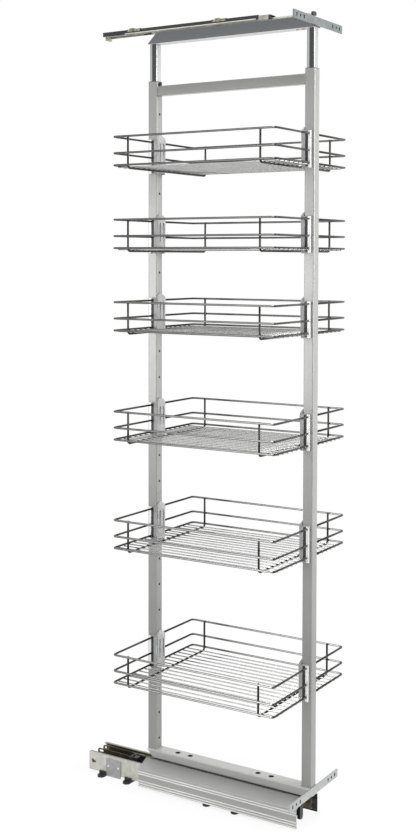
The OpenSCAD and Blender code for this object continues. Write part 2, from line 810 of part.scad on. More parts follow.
module top_inner_ball_cages() color("#8f7a4a")
  translate([0, (frame_y + top_middle_y) / 2, top_z + 3.6]) both_sides()
    translate([top_mid_side - top_ball_room / 2, 0, 0]) ball_strip(6, top_ball_step, top_ball_d, 2.6, 1, true);

module top_fixed_rail() color(ZINC) translate([0, top_fixed_y, top_z])
  difference() {
    union() {
      along_y(-top_fixed_l / 2 - top_front_out, top_fixed_l / 2 - 6)
        translate([0, top_h]) mirror([0, 1]) u_section(top_half, top_h);
      // end stop, bent down behind the moving parts
      translate([-top_half, top_fixed_l / 2 - 8, -7]) cube([2 * top_half, 2, top_h + 7]);
    }
    for (y = ceiling_clip_y) translate([0, y - top_fixed_y, top_h - 3])
      cylinder(d = 3.1, h = 4);
  }

bumper_t = 5;

// black cap over the fixed rail
module top_rail_cap() color(BLACK) translate([0, top_fixed_y, top_z])
  difference() {
    along_y(-top_fixed_l / 2, top_fixed_l / 2) {
      translate([-top_half - top_cap_t, top_h]) square([2 * (top_half + top_cap_t), top_cap_t]);
      both_sides() translate([top_half, 2]) {
        square([top_cap_t, top_h + top_cap_t - 2]);
        for (z = [2, 5, 8]) translate([top_cap_t - 0.2, z - 0.6]) square([0.7, 1.2]);
      }
    }
    for (y = ceiling_clip_y) translate([0, y - top_fixed_y, top_h - 1]) cylinder(d = 3.1, h = 4);
  }

// bumper round the front end of the fixed rail
module top_rail_bumper() color(BLACK) translate([0, top_fixed_y, top_z])
  along_y(-top_fixed_l / 2 - top_front_out - bumper_t, -top_fixed_l / 2 - top_front_out) {
    both_sides() translate([top_mid_half + 0.7, 0]) square([top_half - top_mid_half - 0.7, top_h]);
    translate([-top_half, top_h - rail_t - 0.5]) square([2 * top_half, rail_t + 0.5]);
  }

ceiling_clip_y = [116, -128];
ceiling_clip_l = 58;
ceiling_hole_x = 20;
ceiling_hole_d = 4.2;

// spring clip: saddle with legs and two ears for the ceiling screws
module ceiling_clip() {
  saddle = top_half + top_cap_t + 0.5;
  z0 = top_h + top_cap_t;
  difference() {
    union() {
      translate([-saddle - 1, -ceiling_clip_l / 2 + 8, z0]) cube([2 * saddle + 2, ceiling_clip_l - 16, 1]);
      both_sides() translate([saddle, -18, z0 - 5]) cube([1, 36, 6]);
      translate([-4, -ceiling_clip_l / 2, z0]) cube([8, ceiling_clip_l, 1]);
      translate([-ceiling_hole_x - 5, -6, z0]) cube([2 * ceiling_hole_x + 10, 12, 1]);
      translate([0, 0, z0 - top_cap_t - rail_t]) cylinder(d = 3, h = top_cap_t + rail_t + 1);
    }
    for (s = [-1, 1]) translate([s * ceiling_hole_x, 0, z0 - 1]) cylinder(d = ceiling_hole_d, h = 4);
  }
}

module ceiling_clips() color("#cfd0c4")
  for (y = ceiling_clip_y) translate([0, y, top_z]) ceiling_clip();

// ---- baskets ----

// left or right half of one rim: side wire, two corners, two end wires up to the flats
module half_rim() {
  r = rim_corner;
  translate([rim_x, 0, 0]) bar_y(-rim_y + r, rim_y - r, rim_d);
  both_ends() {
    translate([rim_x - r, rim_y - r, 0]) elbow(r, rim_d);
    translate([0, rim_y, 0]) bar_x(cheek_x + 1, rim_x - r, rim_d);
  }
}

// bow: down inside one side, under the floor, up the other side
module bow() {
  r = bow_bend;
  both_sides() {
    translate([bow_x, 0, 0]) bar_zz(bow_z + r, rim_top + 2.5, rim_d);
    translate([bow_x - r, 0, bow_z + r]) rotate([-90, 0, 0]) elbow(r, rim_d);
  }
  translate([0, 0, bow_z]) bar_x(-bow_x + r, bow_x - r, rim_d);
}

module wire_basket() {
  both_sides() for (z = [0, rim_mid, rim_top]) translate([0, 0, z]) half_rim();
  both_ends() translate([0, basket_l / 2 - bow_inset, 0]) bow();
  for (i = [-floor_half : floor_half]) if (i != 0)
    translate([i * floor_pitch, 0, floor_wire_z])
      bar_y(-basket_l / 2 - floor_over, basket_l / 2 + floor_over, floor_d);
  translate([0, 0, floor_wire_z])
    bar_y(-basket_l / 2 + bow_inset - 4, basket_l / 2 - bow_inset + 4, floor_d);
  both_sides() both_ends() translate([cheek_x, rim_y - 1.5, -clip_below - 0.5])
    cube([flat_t, flat_w, rim_top + clip_below + 6.5]);
}

// clip on the rear end of a basket; the front one is its mirror image
module basket_clip() {
  back = upright_in - clear;
  groove_r = hole_d / 2 - peg_play + 0.1;
  difference() {
    union() {
      intersection() {
        // front outline
        translate([0, back, 0]) rotate([90, 0, 0]) linear_extrude(clip_depth + 5) {
          polygon([[-clip_foot_half, -clip_below], [clip_foot_half, -clip_below],
            [clip_head_r - 0.6, clip_top - clip_head_r - 4],
            [-clip_head_r + 0.6, clip_top - clip_head_r - 4]]);
          translate([0, clip_top - clip_head_r]) circle(clip_head_r);
        }
        // side outline, deepest near the head
        translate([-30, 0, 0]) rotate([90, 0, 90]) linear_extrude(60)
          polygon([[back, -clip_below - 1], [back - clip_foot_depth, -clip_below - 1],
            [back - clip_depth, 50], [back - clip_depth, clip_top - 9],
            [back - clip_depth + 4, clip_top + 1], [back, clip_top + 1]]);
      }
      both_sides() translate([cheek_in, back - clip_foot_depth, -clip_below - 2.8])
        cube([cheek_t, clip_foot_depth + cheek_l, rim_top + clip_below + 9]);
      // thick front part of each cheek, short of the flat
      both_sides() translate([cheek_in, back - clip_foot_depth, -8])
        cube([cheek_t + 2.2, clip_foot_depth + 4.8, rim_top + 12]);
    }
    // groove at the back that drops over the peg, open at the foot
    translate([0, 0, peg_rise]) bar_y(back - peg_out - 0.2, back + 1, 2 * groove_r);
    translate([-groove_r, back - peg_out - 0.2, -clip_below - 5])
      cube([2 * groove_r, peg_out + 1.2, peg_rise + clip_below + 5]);
    // two pockets beside the middle rib
    both_sides() translate([0, back - 4, 0]) rotate([90, 0, 0]) linear_extrude(10)
      polygon([[4, 16], [clip_foot_half - 1.4, 16], [clip_head_r - 5.2, 56], [clip_head_r - 8, 62],
        [4, 62]]);
  }
}

module basket_at(n) translate([0, frame_y, basket_z(n)]) children();

module basket(n) color(CHROME) basket_at(n) wire_basket();
module clips(n) color(PLASTIC) basket_at(n) both_ends() basket_clip();

// ---- nodes ----

floor_channel();
floor_clips();
channel_side_plates();
channel_rivets();
fixed_rail_left();
fixed_rail_right();
damper_bracket();
damper_cylinder();
damper_rod();
latch_slider();
outer_ball_cages();
middle_rail_left();
middle_rail_right();
inner_ball_cages();
frame_rail_left();
frame_rail_right();
carriage_plate();
damper_catch();
rail_front_buffer();
carriage_screws();
left_cover();
right_cover();
cover_screws();
bottom_tube();
front_upright();
rear_upright();
cross_bar();
basket_pegs();
post_bushes();
clamp_screws();
bottom_door_bracket();
bottom_bracket_screws();
front_post();
rear_post();
top_bar();
top_door_bracket();
top_bracket_screws();
top_moving_rail();
top_rail_end_cap();
top_inner_ball_cages();
top_middle_rail();
top_middle_ends();
top_outer_ball_cages();
top_fixed_rail();
top_rail_cap();
top_rail_bumper();
ceiling_clips();
basket(1);  // basket_1
clips(1);  // basket_1_clips
basket(2);  // basket_2
clips(2);  // basket_2_clips
basket(3);  // basket_3
clips(3);  // basket_3_clips
basket(4);  // basket_4
clips(4);  // basket_4_clips
basket(5);  // basket_5
clips(5);  // basket_5_clips
basket(6);  // basket_6
clips(6);  // basket_6_clips
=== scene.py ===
# %% [markdown]
# # A pull out larder unit, dressed in Blender
# The solid model of the unit is already packed: steel frame, runners, six wire baskets.
# This lesson loads it as a fixed frame, then gives each piece its real surface.
# Wires, covers and posts are swept again from formulas so that they are round and smooth,
# and tubes, sheet and moulded pieces keep the solid's shape with softened edges.

# %% Load the frame
import bpy, bmesh, math
import numpy as np
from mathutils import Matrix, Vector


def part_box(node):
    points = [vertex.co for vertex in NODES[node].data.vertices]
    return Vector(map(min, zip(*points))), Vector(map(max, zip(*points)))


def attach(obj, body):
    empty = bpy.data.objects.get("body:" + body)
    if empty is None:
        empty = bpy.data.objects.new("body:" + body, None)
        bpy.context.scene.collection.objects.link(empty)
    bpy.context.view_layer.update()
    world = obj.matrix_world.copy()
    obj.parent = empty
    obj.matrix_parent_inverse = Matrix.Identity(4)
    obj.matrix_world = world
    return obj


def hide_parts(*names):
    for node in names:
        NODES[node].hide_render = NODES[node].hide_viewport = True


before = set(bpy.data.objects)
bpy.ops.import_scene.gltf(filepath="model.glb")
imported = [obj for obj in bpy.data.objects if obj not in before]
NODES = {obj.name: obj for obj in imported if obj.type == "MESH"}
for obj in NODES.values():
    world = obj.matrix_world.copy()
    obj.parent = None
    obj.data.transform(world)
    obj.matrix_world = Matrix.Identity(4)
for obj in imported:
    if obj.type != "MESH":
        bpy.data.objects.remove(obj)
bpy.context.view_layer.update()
MM = 0.001

# %% [markdown]
# ## The camera
# The photograph was taken from the left and a little in front, at chest height, and almost
# level. Only the picture plane was lowered, which is why the unit's upright lines stay
# parallel. A lens shift does the same here, so the camera itself isn't tilted further.

# %% Camera
FOCAL_PX, IMAGE_H, OPTICAL_ROW = 1249.7, 832.0, 307.7
cam_data = bpy.data.cameras.new("Camera")
cam_data.sensor_width = 36.0
cam_data.lens = FOCAL_PX / IMAGE_H * 36.0
cam_data.shift_y = -(IMAGE_H / 2 - OPTICAL_ROW) / IMAGE_H
camera = bpy.data.objects.new("Camera", cam_data)
bpy.context.scene.collection.objects.link(camera)
turn, tilt, roll = math.radians(-58.0), math.radians(2.244), math.radians(-0.13)
camera.location = (-2.5261, -1.6684, 1.300)
camera.rotation_euler = (math.pi / 2 - tilt, roll, turn)
bpy.context.scene.camera = camera
bpy.context.scene.view_settings.view_transform = "Standard"
print("lens", round(cam_data.lens, 2), "mm")

# %% [markdown]
# ## Surfaces from arrays
# Every new shape is a stack of rings: one ring of points, carried along a path. The rings
# are worked out as one array, the four-sided faces between them are index sums, and both
# ends are closed with one face each.

# %% Rings into a mesh
def ring_faces(n, m, start, closed):
    """Faces between n rings of m points: corner (i, j) joins (i, j+1), (i+1, j+1), (i+1, j),
    and j wraps round at m. When closed, ring n-1 also joins ring 0."""
    i, j = np.meshgrid(np.arange(n if closed else n - 1), np.arange(m), indexing="ij")
    a, b = i * m + j, i * m + (j + 1) % m
    c, d = ((i + 1) % n) * m + (j + 1) % m, ((i + 1) % n) * m + j
    faces = (np.stack([a, b, c, d], -1).reshape(-1, 4) + start).tolist()
    if not closed:
        faces.append([start + k for k in range(m)][::-1])
        faces.append([start + (n - 1) * m + k for k in range(m)])
    return faces


def build(name, shapes, smooth, bevel=0.0):
    """One object from several stacks of rings, each an (n, m, 3) array in millimetres or a
    pair (array, closed)."""
    points, faces, start = [], [], 0
    for shape in shapes:
        rings, closed = shape if isinstance(shape, tuple) else (shape, False)
        n, m = rings.shape[:2]
        points.append(rings.reshape(-1, 3) * MM)
        faces += ring_faces(n, m, start, closed)
        start += n * m
    mesh = bpy.data.meshes.new(name)
    mesh.from_pydata(np.concatenate(points), [], faces)
    bm = bmesh.new()
    bm.from_mesh(mesh)
    bmesh.ops.recalc_face_normals(bm, faces=bm.faces)
    bm.to_mesh(mesh)
    bm.free()
    return finish_mesh(name, mesh, smooth, bevel)


def finish_mesh(name, mesh, smooth, bevel):
    """Rounds the shading between faces that meet at less than smooth degrees, and softens
    the other edges by bevel millimetres."""
    mesh.shade_smooth()
    mesh.set_sharp_from_angle(angle=math.radians(smooth))
    obj = bpy.data.objects.new(name, mesh)
    bpy.context.scene.collection.objects.link(obj)
    if bevel:
        mod = obj.modifiers.new("Soft edges", "BEVEL")
        mod.width, mod.segments, mod.limit_method = bevel * MM, 2, "ANGLE"
        mod.angle_limit, mod.harden_normals = math.radians(40), True
    return obj


def points_of(obj):
    """All points of a mesh in millimetres, as an (n, 3) array."""
    points = np.empty(len(obj.data.vertices) * 3)
    obj.data.vertices.foreach_get("co", points)
    return points.reshape(-1, 3) / MM


def mask(obj, values):
    """Writes one value per point as the mesh's mask of painted light: 0 keeps the finish's
    tones, 1 gives its dark tone of painted shade or painted reflection."""
    layer = obj.data.attributes.new("mask", "FLOAT", "POINT")
    layer.data.foreach_set("value", np.asarray(values, float))
    return obj


def place(obj, body, slot, material, *nodes):
    """Hangs a piece on its body, hides the solids it stands for and gives it its finish."""
    obj.data.materials.clear()
    obj.data.materials.append(material)
    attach(obj, body)
    if nodes:
        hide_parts(*nodes)


# %% [markdown]
# ## Sweeps, turned shapes and bars
# A wire is a circle carried along a bent line in one plane. A cover is a flat outline
# carried straight along the depth, and a post is one carried upwards. A rivet head is a
# half outline turned round its axis. These cover every piece that isn't a softened solid.

# %% Sweep, turn and extrude
def circle(r, m):
    """m points at angle t on a circle: (r cos t, r sin t)."""
    t = np.arange(m) * 2 * np.pi / m
    return np.stack([r * np.cos(t), r * np.sin(t)], -1)


def wire(path, plane, r, m):
    """Circle carried along a path in one plane: point = path + r cos t * side + r sin t *
    plane, side = direction x plane. Both ends are domed: a ring there has radius r cos a
    and stands r sin a / 2 further out."""
    path, plane = np.asarray(path, float), np.asarray(plane, float)
    along = np.gradient(path, axis=0)
    along /= np.linalg.norm(along, axis=1)[:, None]
    a = np.radians([72, 48, 24])
    head = path[0] - np.sin(a)[:, None] * r * 0.5 * along[0]
    tail = path[-1] + np.sin(a)[::-1, None] * r * 0.5 * along[-1]
    scale = np.concatenate([np.cos(a), np.ones(len(path)), np.cos(a)[::-1]])
    along = np.concatenate([along[:1].repeat(3, 0), along, along[-1:].repeat(3, 0)])
    path = np.concatenate([head, path, tail])
    side, ring = np.cross(along, plane), circle(r, m)
    across = side[:, None, :] * ring[None, :, :1] + plane * ring[None, :, 1:]
    return path[:, None, :] + across * scale[:, None, None]


def bent(corners, bend, steps=8):
    """A line through corners, each inner corner rounded: the arc starts bend * tan(half the
    turn) before it and its points are c + u cos t + v sin t."""
    corners = np.asarray(corners, float)
    out = [corners[:1]]
    for a, b, c in zip(corners[:-2], corners[1:-1], corners[2:]):
        u, v = (b - a) / np.linalg.norm(b - a), (c - b) / np.linalg.norm(c - b)
        half = math.acos(float(np.clip(u @ v, -1, 1))) / 2
        inward = (v - u) / np.linalg.norm(v - u)
        centre = b + inward * bend / math.cos(half)
        t = np.linspace(-half, half, steps + 1)[:, None]
        ahead = (u + v) / np.linalg.norm(u + v)
        out.append(centre + bend * (ahead * np.sin(t) - inward * np.cos(t)))
    out.append(corners[-1:])
    return np.concatenate(out)


def straight(p, q, n):
    """n points from p to q: p + (q - p) s."""
    return np.linspace(p, q, n)


def turned(outline, centre, axis, m):
    """Half outline (radius, height) turned round an axis: centre + axis * height + radius *
    (u cos t + v sin t)."""
    outline, axis = np.asarray(outline, float), np.asarray(axis, float)
    u = np.cross(axis, [0, 0, 1] if abs(axis[2]) < 0.9 else [1, 0, 0])
    u /= np.linalg.norm(u)
    v, ring = np.cross(axis, u), circle(1.0, m)
    around = u * ring[:, :1] + v * ring[:, 1:]
    return (np.asarray(centre, float) + axis * outline[:, None, 1:]
            + around[None] * outline[:, None, :1])


def rounded(outline, radii, steps=4):
    """Closed outline with each corner swapped for an arc of its own radius, tangent to both
    sides."""
    outline = np.asarray(outline, float)
    radii = np.broadcast_to(np.asarray(radii, float), len(outline))
    out = []
    for a, b, c, r in zip(np.roll(outline, 1, 0), outline, np.roll(outline, -1, 0), radii):
        u, v = (b - a) / np.linalg.norm(b - a), (c - b) / np.linalg.norm(c - b)
        half = math.acos(float(np.clip(u @ v, -1, 1))) / 2
        inward = (v - u) / np.linalg.norm(v - u)
        ahead = (u + v) / np.linalg.norm(u + v)
        t = np.linspace(-half, half, steps + 1)[:, None]
        out.append(b + inward * r / math.cos(half) + r * (ahead * np.sin(t) - inward * np.cos(t)))
    return np.concatenate(out)


def run(outline, ends):
    """Outline in X and Z carried along Y through the places in ends."""
    outline = np.asarray(outline, float)
    y = np.broadcast_to(np.asarray(ends, float)[:, None], (len(ends), len(outline)))
    x = np.broadcast_to(outline[None, :, 0], y.shape)
    z = np.broadcast_to(outline[None, :, 1], y.shape)
    return np.stack([x, y, z], -1)


def upward(outline, levels):
    """Outline in X and Y carried along Z through the given levels."""
    outline = np.asarray(outline, float)
    z = np.broadcast_to(np.asarray(levels, float)[:, None], (len(levels), len(outline)))
    xy = np.broadcast_to(outline[None], (len(levels),) + outline.shape)
    return np.concatenate([xy, z[..., None]], -1)


def oblong(w, h, r, steps=5):
    """Rectangle w by h about the origin with corners of radius r."""
    w, h = w / 2, h / 2
    return rounded([[-w, -h], [w, -h], [w, h], [-w, h]], r, steps)


def centre_of(node):
    """Middle of a solid's box, in millimetres."""
    lo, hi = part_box(node)
    return (np.array(lo) + np.array(hi)) / 2 / MM


def corners_of(node):
    """Lowest and highest corner of a solid, in millimetres."""
    lo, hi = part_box(node)
    return np.array(lo) / MM, np.array(hi) / MM


print("the uprights end", round(corners_of("front_upright")[1][2]), "mm above the floor")

# %% [markdown]
# ## Softened solids
# Sheet and moulded pieces already have their right shape, holes and all. Their mesh is
# loose triangles with razor edges, so a copy is merged, flat triangles are joined, and a
# small bevel lets each edge catch the light.

# %% Softened copy of a solid
MERGE_GAP, FLAT_DEGREES, SHARP_DEGREES = 2e-6, 0.6, 32.0


def softened(node, name, bevel):
    """Copy of a solid's mesh: equal points merged, triangles of one plane joined, edges
    rounded by bevel millimetres."""
    mesh = NODES[node].data.copy()
    mesh.name = name
    bm = bmesh.new()
    bm.from_mesh(mesh)
    bmesh.ops.remove_doubles(bm, verts=bm.verts, dist=MERGE_GAP)
    bmesh.ops.dissolve_limit(bm, angle_limit=math.radians(FLAT_DEGREES), verts=bm.verts,
                             edges=bm.edges)
    bm.to_mesh(mesh)
    bm.free()
    return finish_mesh(name, mesh, SHARP_DEGREES, bevel)


print("points closer than", MERGE_GAP / MM, "mm become one")

# %% [markdown]
# ## Effects that several finishes share
# Three small node groups: a slow drift between two tones, as paint and plating have, fine
# grain for bump and gloss, and the long drawn lines of rolled or extruded metal. Each has
# its own numbers in each finish.

# %% Node groups
def new_group(name, inputs, outputs):
    """Empty node group with the named sockets; returns (tree, input node, output node)."""
    tree = bpy.data.node_groups.new(name, "ShaderNodeTree")
    for label, kind, value in inputs:
        socket = tree.interface.new_socket(label, in_out="INPUT", socket_type=kind)
        socket.default_value = value
    for label, kind in outputs:
        tree.interface.new_socket(label, in_out="OUTPUT", socket_type=kind)
    return tree, tree.nodes.new("NodeGroupInput"), tree.nodes.new("NodeGroupOutput")


F, C = "NodeSocketFloat", "NodeSocketColor"
MIX_A, MIX_B, MIX_OUT = 6, 7, 2    # the colour sockets of a Mix node


def noise_range(tree, vector, scale, detail, low, high):
    """Noise of a scale, its middle third stretched over low to high."""
    noise, spread = tree.nodes.new("ShaderNodeTexNoise"), tree.nodes.new("ShaderNodeMapRange")
    noise.inputs["Detail"].default_value = detail
    spread.inputs["From Min"].default_value = 0.33
    spread.inputs["From Max"].default_value = 0.67
    tree.links.new(vector, noise.inputs["Vector"])
    tree.links.new(scale, noise.inputs["Scale"])
    tree.links.new(noise.outputs["Fac"], spread.inputs["Value"])
    tree.links.new(low, spread.inputs["To Min"])
    tree.links.new(high, spread.inputs["To Max"])
    return spread.outputs["Result"]


def make_drift():
    """Colour that wanders from one tone to another: mix(A, B, noise)."""
    tree, gi, go = new_group("Tone drift", [
        ("Tone A", C, (1, 1, 1, 1)), ("Tone B", C, (1, 1, 1, 1)),
        ("Scale", F, 8.0), ("Low", F, 0.0), ("High", F, 1.0)], [("Color", C)])
    coord, mix = tree.nodes.new("ShaderNodeTexCoord"), tree.nodes.new("ShaderNodeMix")
    mix.data_type = "RGBA"
    amount = noise_range(tree, coord.outputs["Object"], gi.outputs["Scale"], 4.0,
                         gi.outputs["Low"], gi.outputs["High"])
    tree.links.new(amount, mix.inputs["Factor"])
    tree.links.new(gi.outputs["Tone A"], mix.inputs[MIX_A])
    tree.links.new(gi.outputs["Tone B"], mix.inputs[MIX_B])
    tree.links.new(mix.outputs[MIX_OUT], go.inputs["Color"])
    return tree


def make_grain():
    """Fine even grain as a value between Low and High."""
    tree, gi, go = new_group("Fine grain", [("Scale", F, 600.0), ("Low", F, 0.0), ("High", F, 1.0)],
                             [("Value", F)])
    coord = tree.nodes.new("ShaderNodeTexCoord")
    tree.links.new(noise_range(tree, coord.outputs["Object"], gi.outputs["Scale"], 3.0,
                               gi.outputs["Low"], gi.outputs["High"]), go.inputs["Value"])
    return tree


def make_lines():
    """Drawn lines: noise on coordinates pressed together across the grain and pulled out
    along it."""
    tree, gi, go = new_group("Drawn lines", [
        ("Along X", F, 1.0), ("Along Y", F, 1.0), ("Along Z", F, 1.0),
        ("Scale", F, 400.0), ("Low", F, 0.0), ("High", F, 1.0)], [("Value", F)])
    coord, pull = tree.nodes.new("ShaderNodeTexCoord"), tree.nodes.new("ShaderNodeCombineXYZ")
    times = tree.nodes.new("ShaderNodeVectorMath")
    times.operation = "MULTIPLY"
    for axis in "XYZ":
        tree.links.new(gi.outputs["Along " + axis], pull.inputs[axis])
    tree.links.new(coord.outputs["Object"], times.inputs[0])
    tree.links.new(pull.outputs["Vector"], times.inputs[1])
    tree.links.new(noise_range(tree, times.outputs["Vector"], gi.outputs["Scale"], 3.0,
                               gi.outputs["Low"], gi.outputs["High"]), go.inputs["Value"])
    return tree


DRIFT, GRAIN, LINES = make_drift(), make_grain(), make_lines()
print("shared effects:", [g.name for g in bpy.data.node_groups])

# %% [markdown]
# ## The finishes
# Each finish is one Principled shader. Its colour comes from the drift group, its gloss
# from grain or drawn lines, and the same value drives a faint bump. Where a mesh carries a
# mask, the colour goes over to a dark tone, which is painted shade or painted reflection.
# What is the same all over a surface, such as the specular level, is set on the shader itself.

# %% One finish
def finish(name, tone_a, tone_b, metallic, gloss, drift, bump, grain=None, lines=None,
           specular=0.5, dark=None):
    """One finish: colour = drift(tone_a, tone_b), roughness = grain or lines over gloss,
    height = the same pattern; dark is the tone of painted shade or painted reflection where
    the mesh's own mask is 1."""
    mat = bpy.data.materials.new(name)
    mat.use_nodes = True
    nodes, links = mat.node_tree.nodes, mat.node_tree.links
    shader = nodes["Principled BSDF"]
    shader.inputs["Metallic"].default_value = metallic
    shader.inputs["Specular IOR Level"].default_value = specular

    def group(tree, **values):
        node = nodes.new("ShaderNodeGroup")
        node.node_tree = tree
        for key, value in values.items():
            node.inputs[key.replace("_", " ")].default_value = value
        return node

    tone = group(DRIFT, Tone_A=(*tone_a, 1), Tone_B=(*tone_b, 1), Scale=drift)
    colour = tone.outputs["Color"]
    if dark:
        shade, mix = nodes.new("ShaderNodeAttribute"), nodes.new("ShaderNodeMix")
        shade.attribute_name, mix.data_type = "mask", "RGBA"
        links.new(shade.outputs["Fac"], mix.inputs["Factor"])
        links.new(colour, mix.inputs[MIX_A])
        mix.inputs[MIX_B].default_value = (*dark, 1)
        colour = mix.outputs[MIX_OUT]
    links.new(colour, shader.inputs["Base Color"])
    if lines:
        rough = group(LINES, Along_X=lines[0], Along_Y=lines[1], Along_Z=lines[2],
                      Scale=lines[3], Low=gloss[0], High=gloss[1])
    else:
        rough = group(GRAIN, Scale=grain, Low=gloss[0], High=gloss[1])
    links.new(rough.outputs["Value"], shader.inputs["Roughness"])
    relief = nodes.new("ShaderNodeBump")
    relief.inputs["Strength"].default_value = 0.6
    relief.inputs["Distance"].default_value = bump * MM
    links.new(rough.outputs["Value"], relief.inputs["Height"])
    links.new(relief.outputs["Normal"], shader.inputs["Normal"])
    return mat


print("a finish mixes from", len(bpy.data.node_groups), "shared effects")

# %% [markdown]
# ## Powder coated steel
# Silver grey powder coat has a fine even grain and drifts little. The tubes hang in
# different light, so each has its own pair of tones as painted light, and the bars have a
# dark tone of painted shade for the faces that look away from the light.

# %% Paints
PAINT = finish("Silver grey paint", (0.250, 0.250, 0.244), (0.275, 0.275, 0.268), 0.50,
               (0.29, 0.37), drift=6, grain=900, bump=0.12)
FOOT_LIGHT_AND_SHADE = finish("Foot paint with painted light and shade", (0.50, 0.50, 0.49), (0.54, 0.54, 0.53), 0.50, (0.34, 0.44),
                    drift=6, grain=900, bump=0.12, dark=(0.33, 0.33, 0.325))
CROSS_LIGHT_AND_SHADE = finish("Cross bar paint with painted light and shade", (0.50, 0.50, 0.49), (0.55, 0.55, 0.54), 0.50, (0.32, 0.42),
                     drift=6, grain=900, bump=0.12, dark=(0.05, 0.05, 0.05))
TOP_LIGHT_AND_SHADE = finish("Top bar paint with painted light and shade", (0.60, 0.60, 0.60), (0.66, 0.66, 0.66), 0.40, (0.36, 0.48),
                   drift=6, grain=900, bump=0.2, dark=(0.098, 0.101, 0.105))
print("paints:", len(bpy.data.materials))

# %% [markdown]
# ## Bare, plated and chromed metal
# Extruded and drawn aluminium has fine lines along its length. Zinc has a coarse, patchy
# drift that no paint has, yellowish on the channel and grey on the plates. The rails and the
# carriage plate get a dark brown steel, which is painted shade of the shadowed runners and of
# the gap along the bottom tube. Chrome is smooth, nearly all mirror, and has hardly any bump.
# The dark tones of aluminium, drawn posts, zinc and chrome are painted shade and reflection.

# %% Metals
ALUMINIUM = finish("Satin aluminium", (0.49, 0.49, 0.482), (0.55, 0.55, 0.54), 0.50, (0.38, 0.52),
                   drift=4, lines=(1, 0.02, 1, 900), bump=0.2, dark=(0.04, 0.04, 0.04))
POST_METAL = finish("Bright drawn aluminium", (0.40, 0.402, 0.406), (0.46, 0.463, 0.468), 0.9,
                    (0.14, 0.26), drift=5, lines=(1, 1, 0.02, 900), bump=0.1,
                    dark=(0.070, 0.071, 0.073))
ZINC = finish("Yellowish zinc", (0.43, 0.43, 0.385), (0.55, 0.55, 0.505), 0.55, (0.30, 0.50),
              drift=70, grain=160, bump=0.1, dark=(0.085, 0.078, 0.062))
PLATE_ZINC = finish("Grey galvanised", (0.31, 0.32, 0.318), (0.37, 0.381, 0.379), 0.5, (0.30, 0.46),
                    drift=90, grain=200, bump=0.15)
TOP_PLATE = finish("Dull galvanised", (0.118, 0.127, 0.130), (0.158, 0.169, 0.172), 0.5,
                   (0.34, 0.5), drift=60, grain=200, bump=0.15)
SIDE_PLATE = finish("Side plate steel", (0.29, 0.292, 0.288), (0.35, 0.352, 0.348), 0.6,
                    (0.32, 0.46), drift=80, grain=200, bump=0.15)
TOP_ZINC = finish("Dull zinc", (0.27, 0.26, 0.23), (0.40, 0.39, 0.355), 0.6, (0.28, 0.46),
                  drift=60, grain=200, bump=0.1)
SPRING = finish("Spring steel", (0.11, 0.11, 0.085), (0.36, 0.355, 0.29), 0.6, (0.28, 0.46),
                drift=140, grain=200, bump=0.1)
SHADED_STEEL = finish("Steel with painted shade", (0.060, 0.052, 0.038), (0.125, 0.112, 0.088), 0.7, (0.22, 0.42),
                 drift=60, grain=300, bump=0.1)
CHROME = finish("Chromed wire", (0.50, 0.50, 0.495), (0.58, 0.58, 0.575), 1.0, (0.06, 0.14),
                drift=30, grain=300, bump=0.03, dark=(0.034, 0.033, 0.032))
SCREW = finish("Plated screw steel", (0.44, 0.44, 0.44), (0.58, 0.58, 0.57), 0.8, (0.25, 0.42),
               drift=150, grain=500, bump=0.05)
FLAT_STEEL = finish("Bright flat steel", (0.70, 0.70, 0.69), (0.80, 0.80, 0.79), 0.30, (0.30, 0.45),
                    drift=120, grain=500, bump=0.05)
CAGE = finish("Pressed brass cage", (0.36, 0.28, 0.13), (0.45, 0.36, 0.18), 0.8, (0.3, 0.45),
              drift=120, grain=400, bump=0.05)
print("paints and metals:", len(bpy.data.materials))

# %% [markdown]
# ## Plastics and dark holes
# Moulded nylon has a fine grain and a soft shine, and no metal in it. The tone for the
# inside of holes is painted shade, nearly black and as matt as can be, so that no lamp shows
# in it.

# %% Plastics
BLACK = finish("Black nylon", (0.012, 0.012, 0.014), (0.022, 0.022, 0.024), 0.0, (0.38, 0.55),
               drift=40, grain=700, bump=0.25, specular=0.4)
CLIP_PLASTIC = finish("Grey nylon", (0.265, 0.27, 0.268), (0.345, 0.35, 0.348), 0.0, (0.30, 0.45),
                      drift=40, grain=700, bump=0.2)
HOLE_SHADE = finish("Painted hole shade", (0.008, 0.008, 0.009), (0.014, 0.014, 0.015), 0.0, (0.80, 0.92),
                   drift=60, grain=600, bump=0.05, specular=0.1)
BUSH_PLASTIC = finish("Dark bush plastic", (0.035, 0.036, 0.038), (0.05, 0.05, 0.052), 0.0,
                      (0.4, 0.55), drift=60, grain=600, bump=0.2)
print("finishes:", len(bpy.data.materials))

# %% [markdown]
# ## The wire baskets
# A basket is three rims, two bows that run down the sides and under the floor, and a row
# of thin floor wires, all welded and then chromed. The end rims stop at the uprights, on
# short steel flats beside the clips. Each wire is swept on its own, and a small bead marks
# each weld that shows. Polished chrome has the tones of what it mirrors, and those get
# darker towards the rear, so a mask paints that reflection and darkens each wire from front
# to rear.

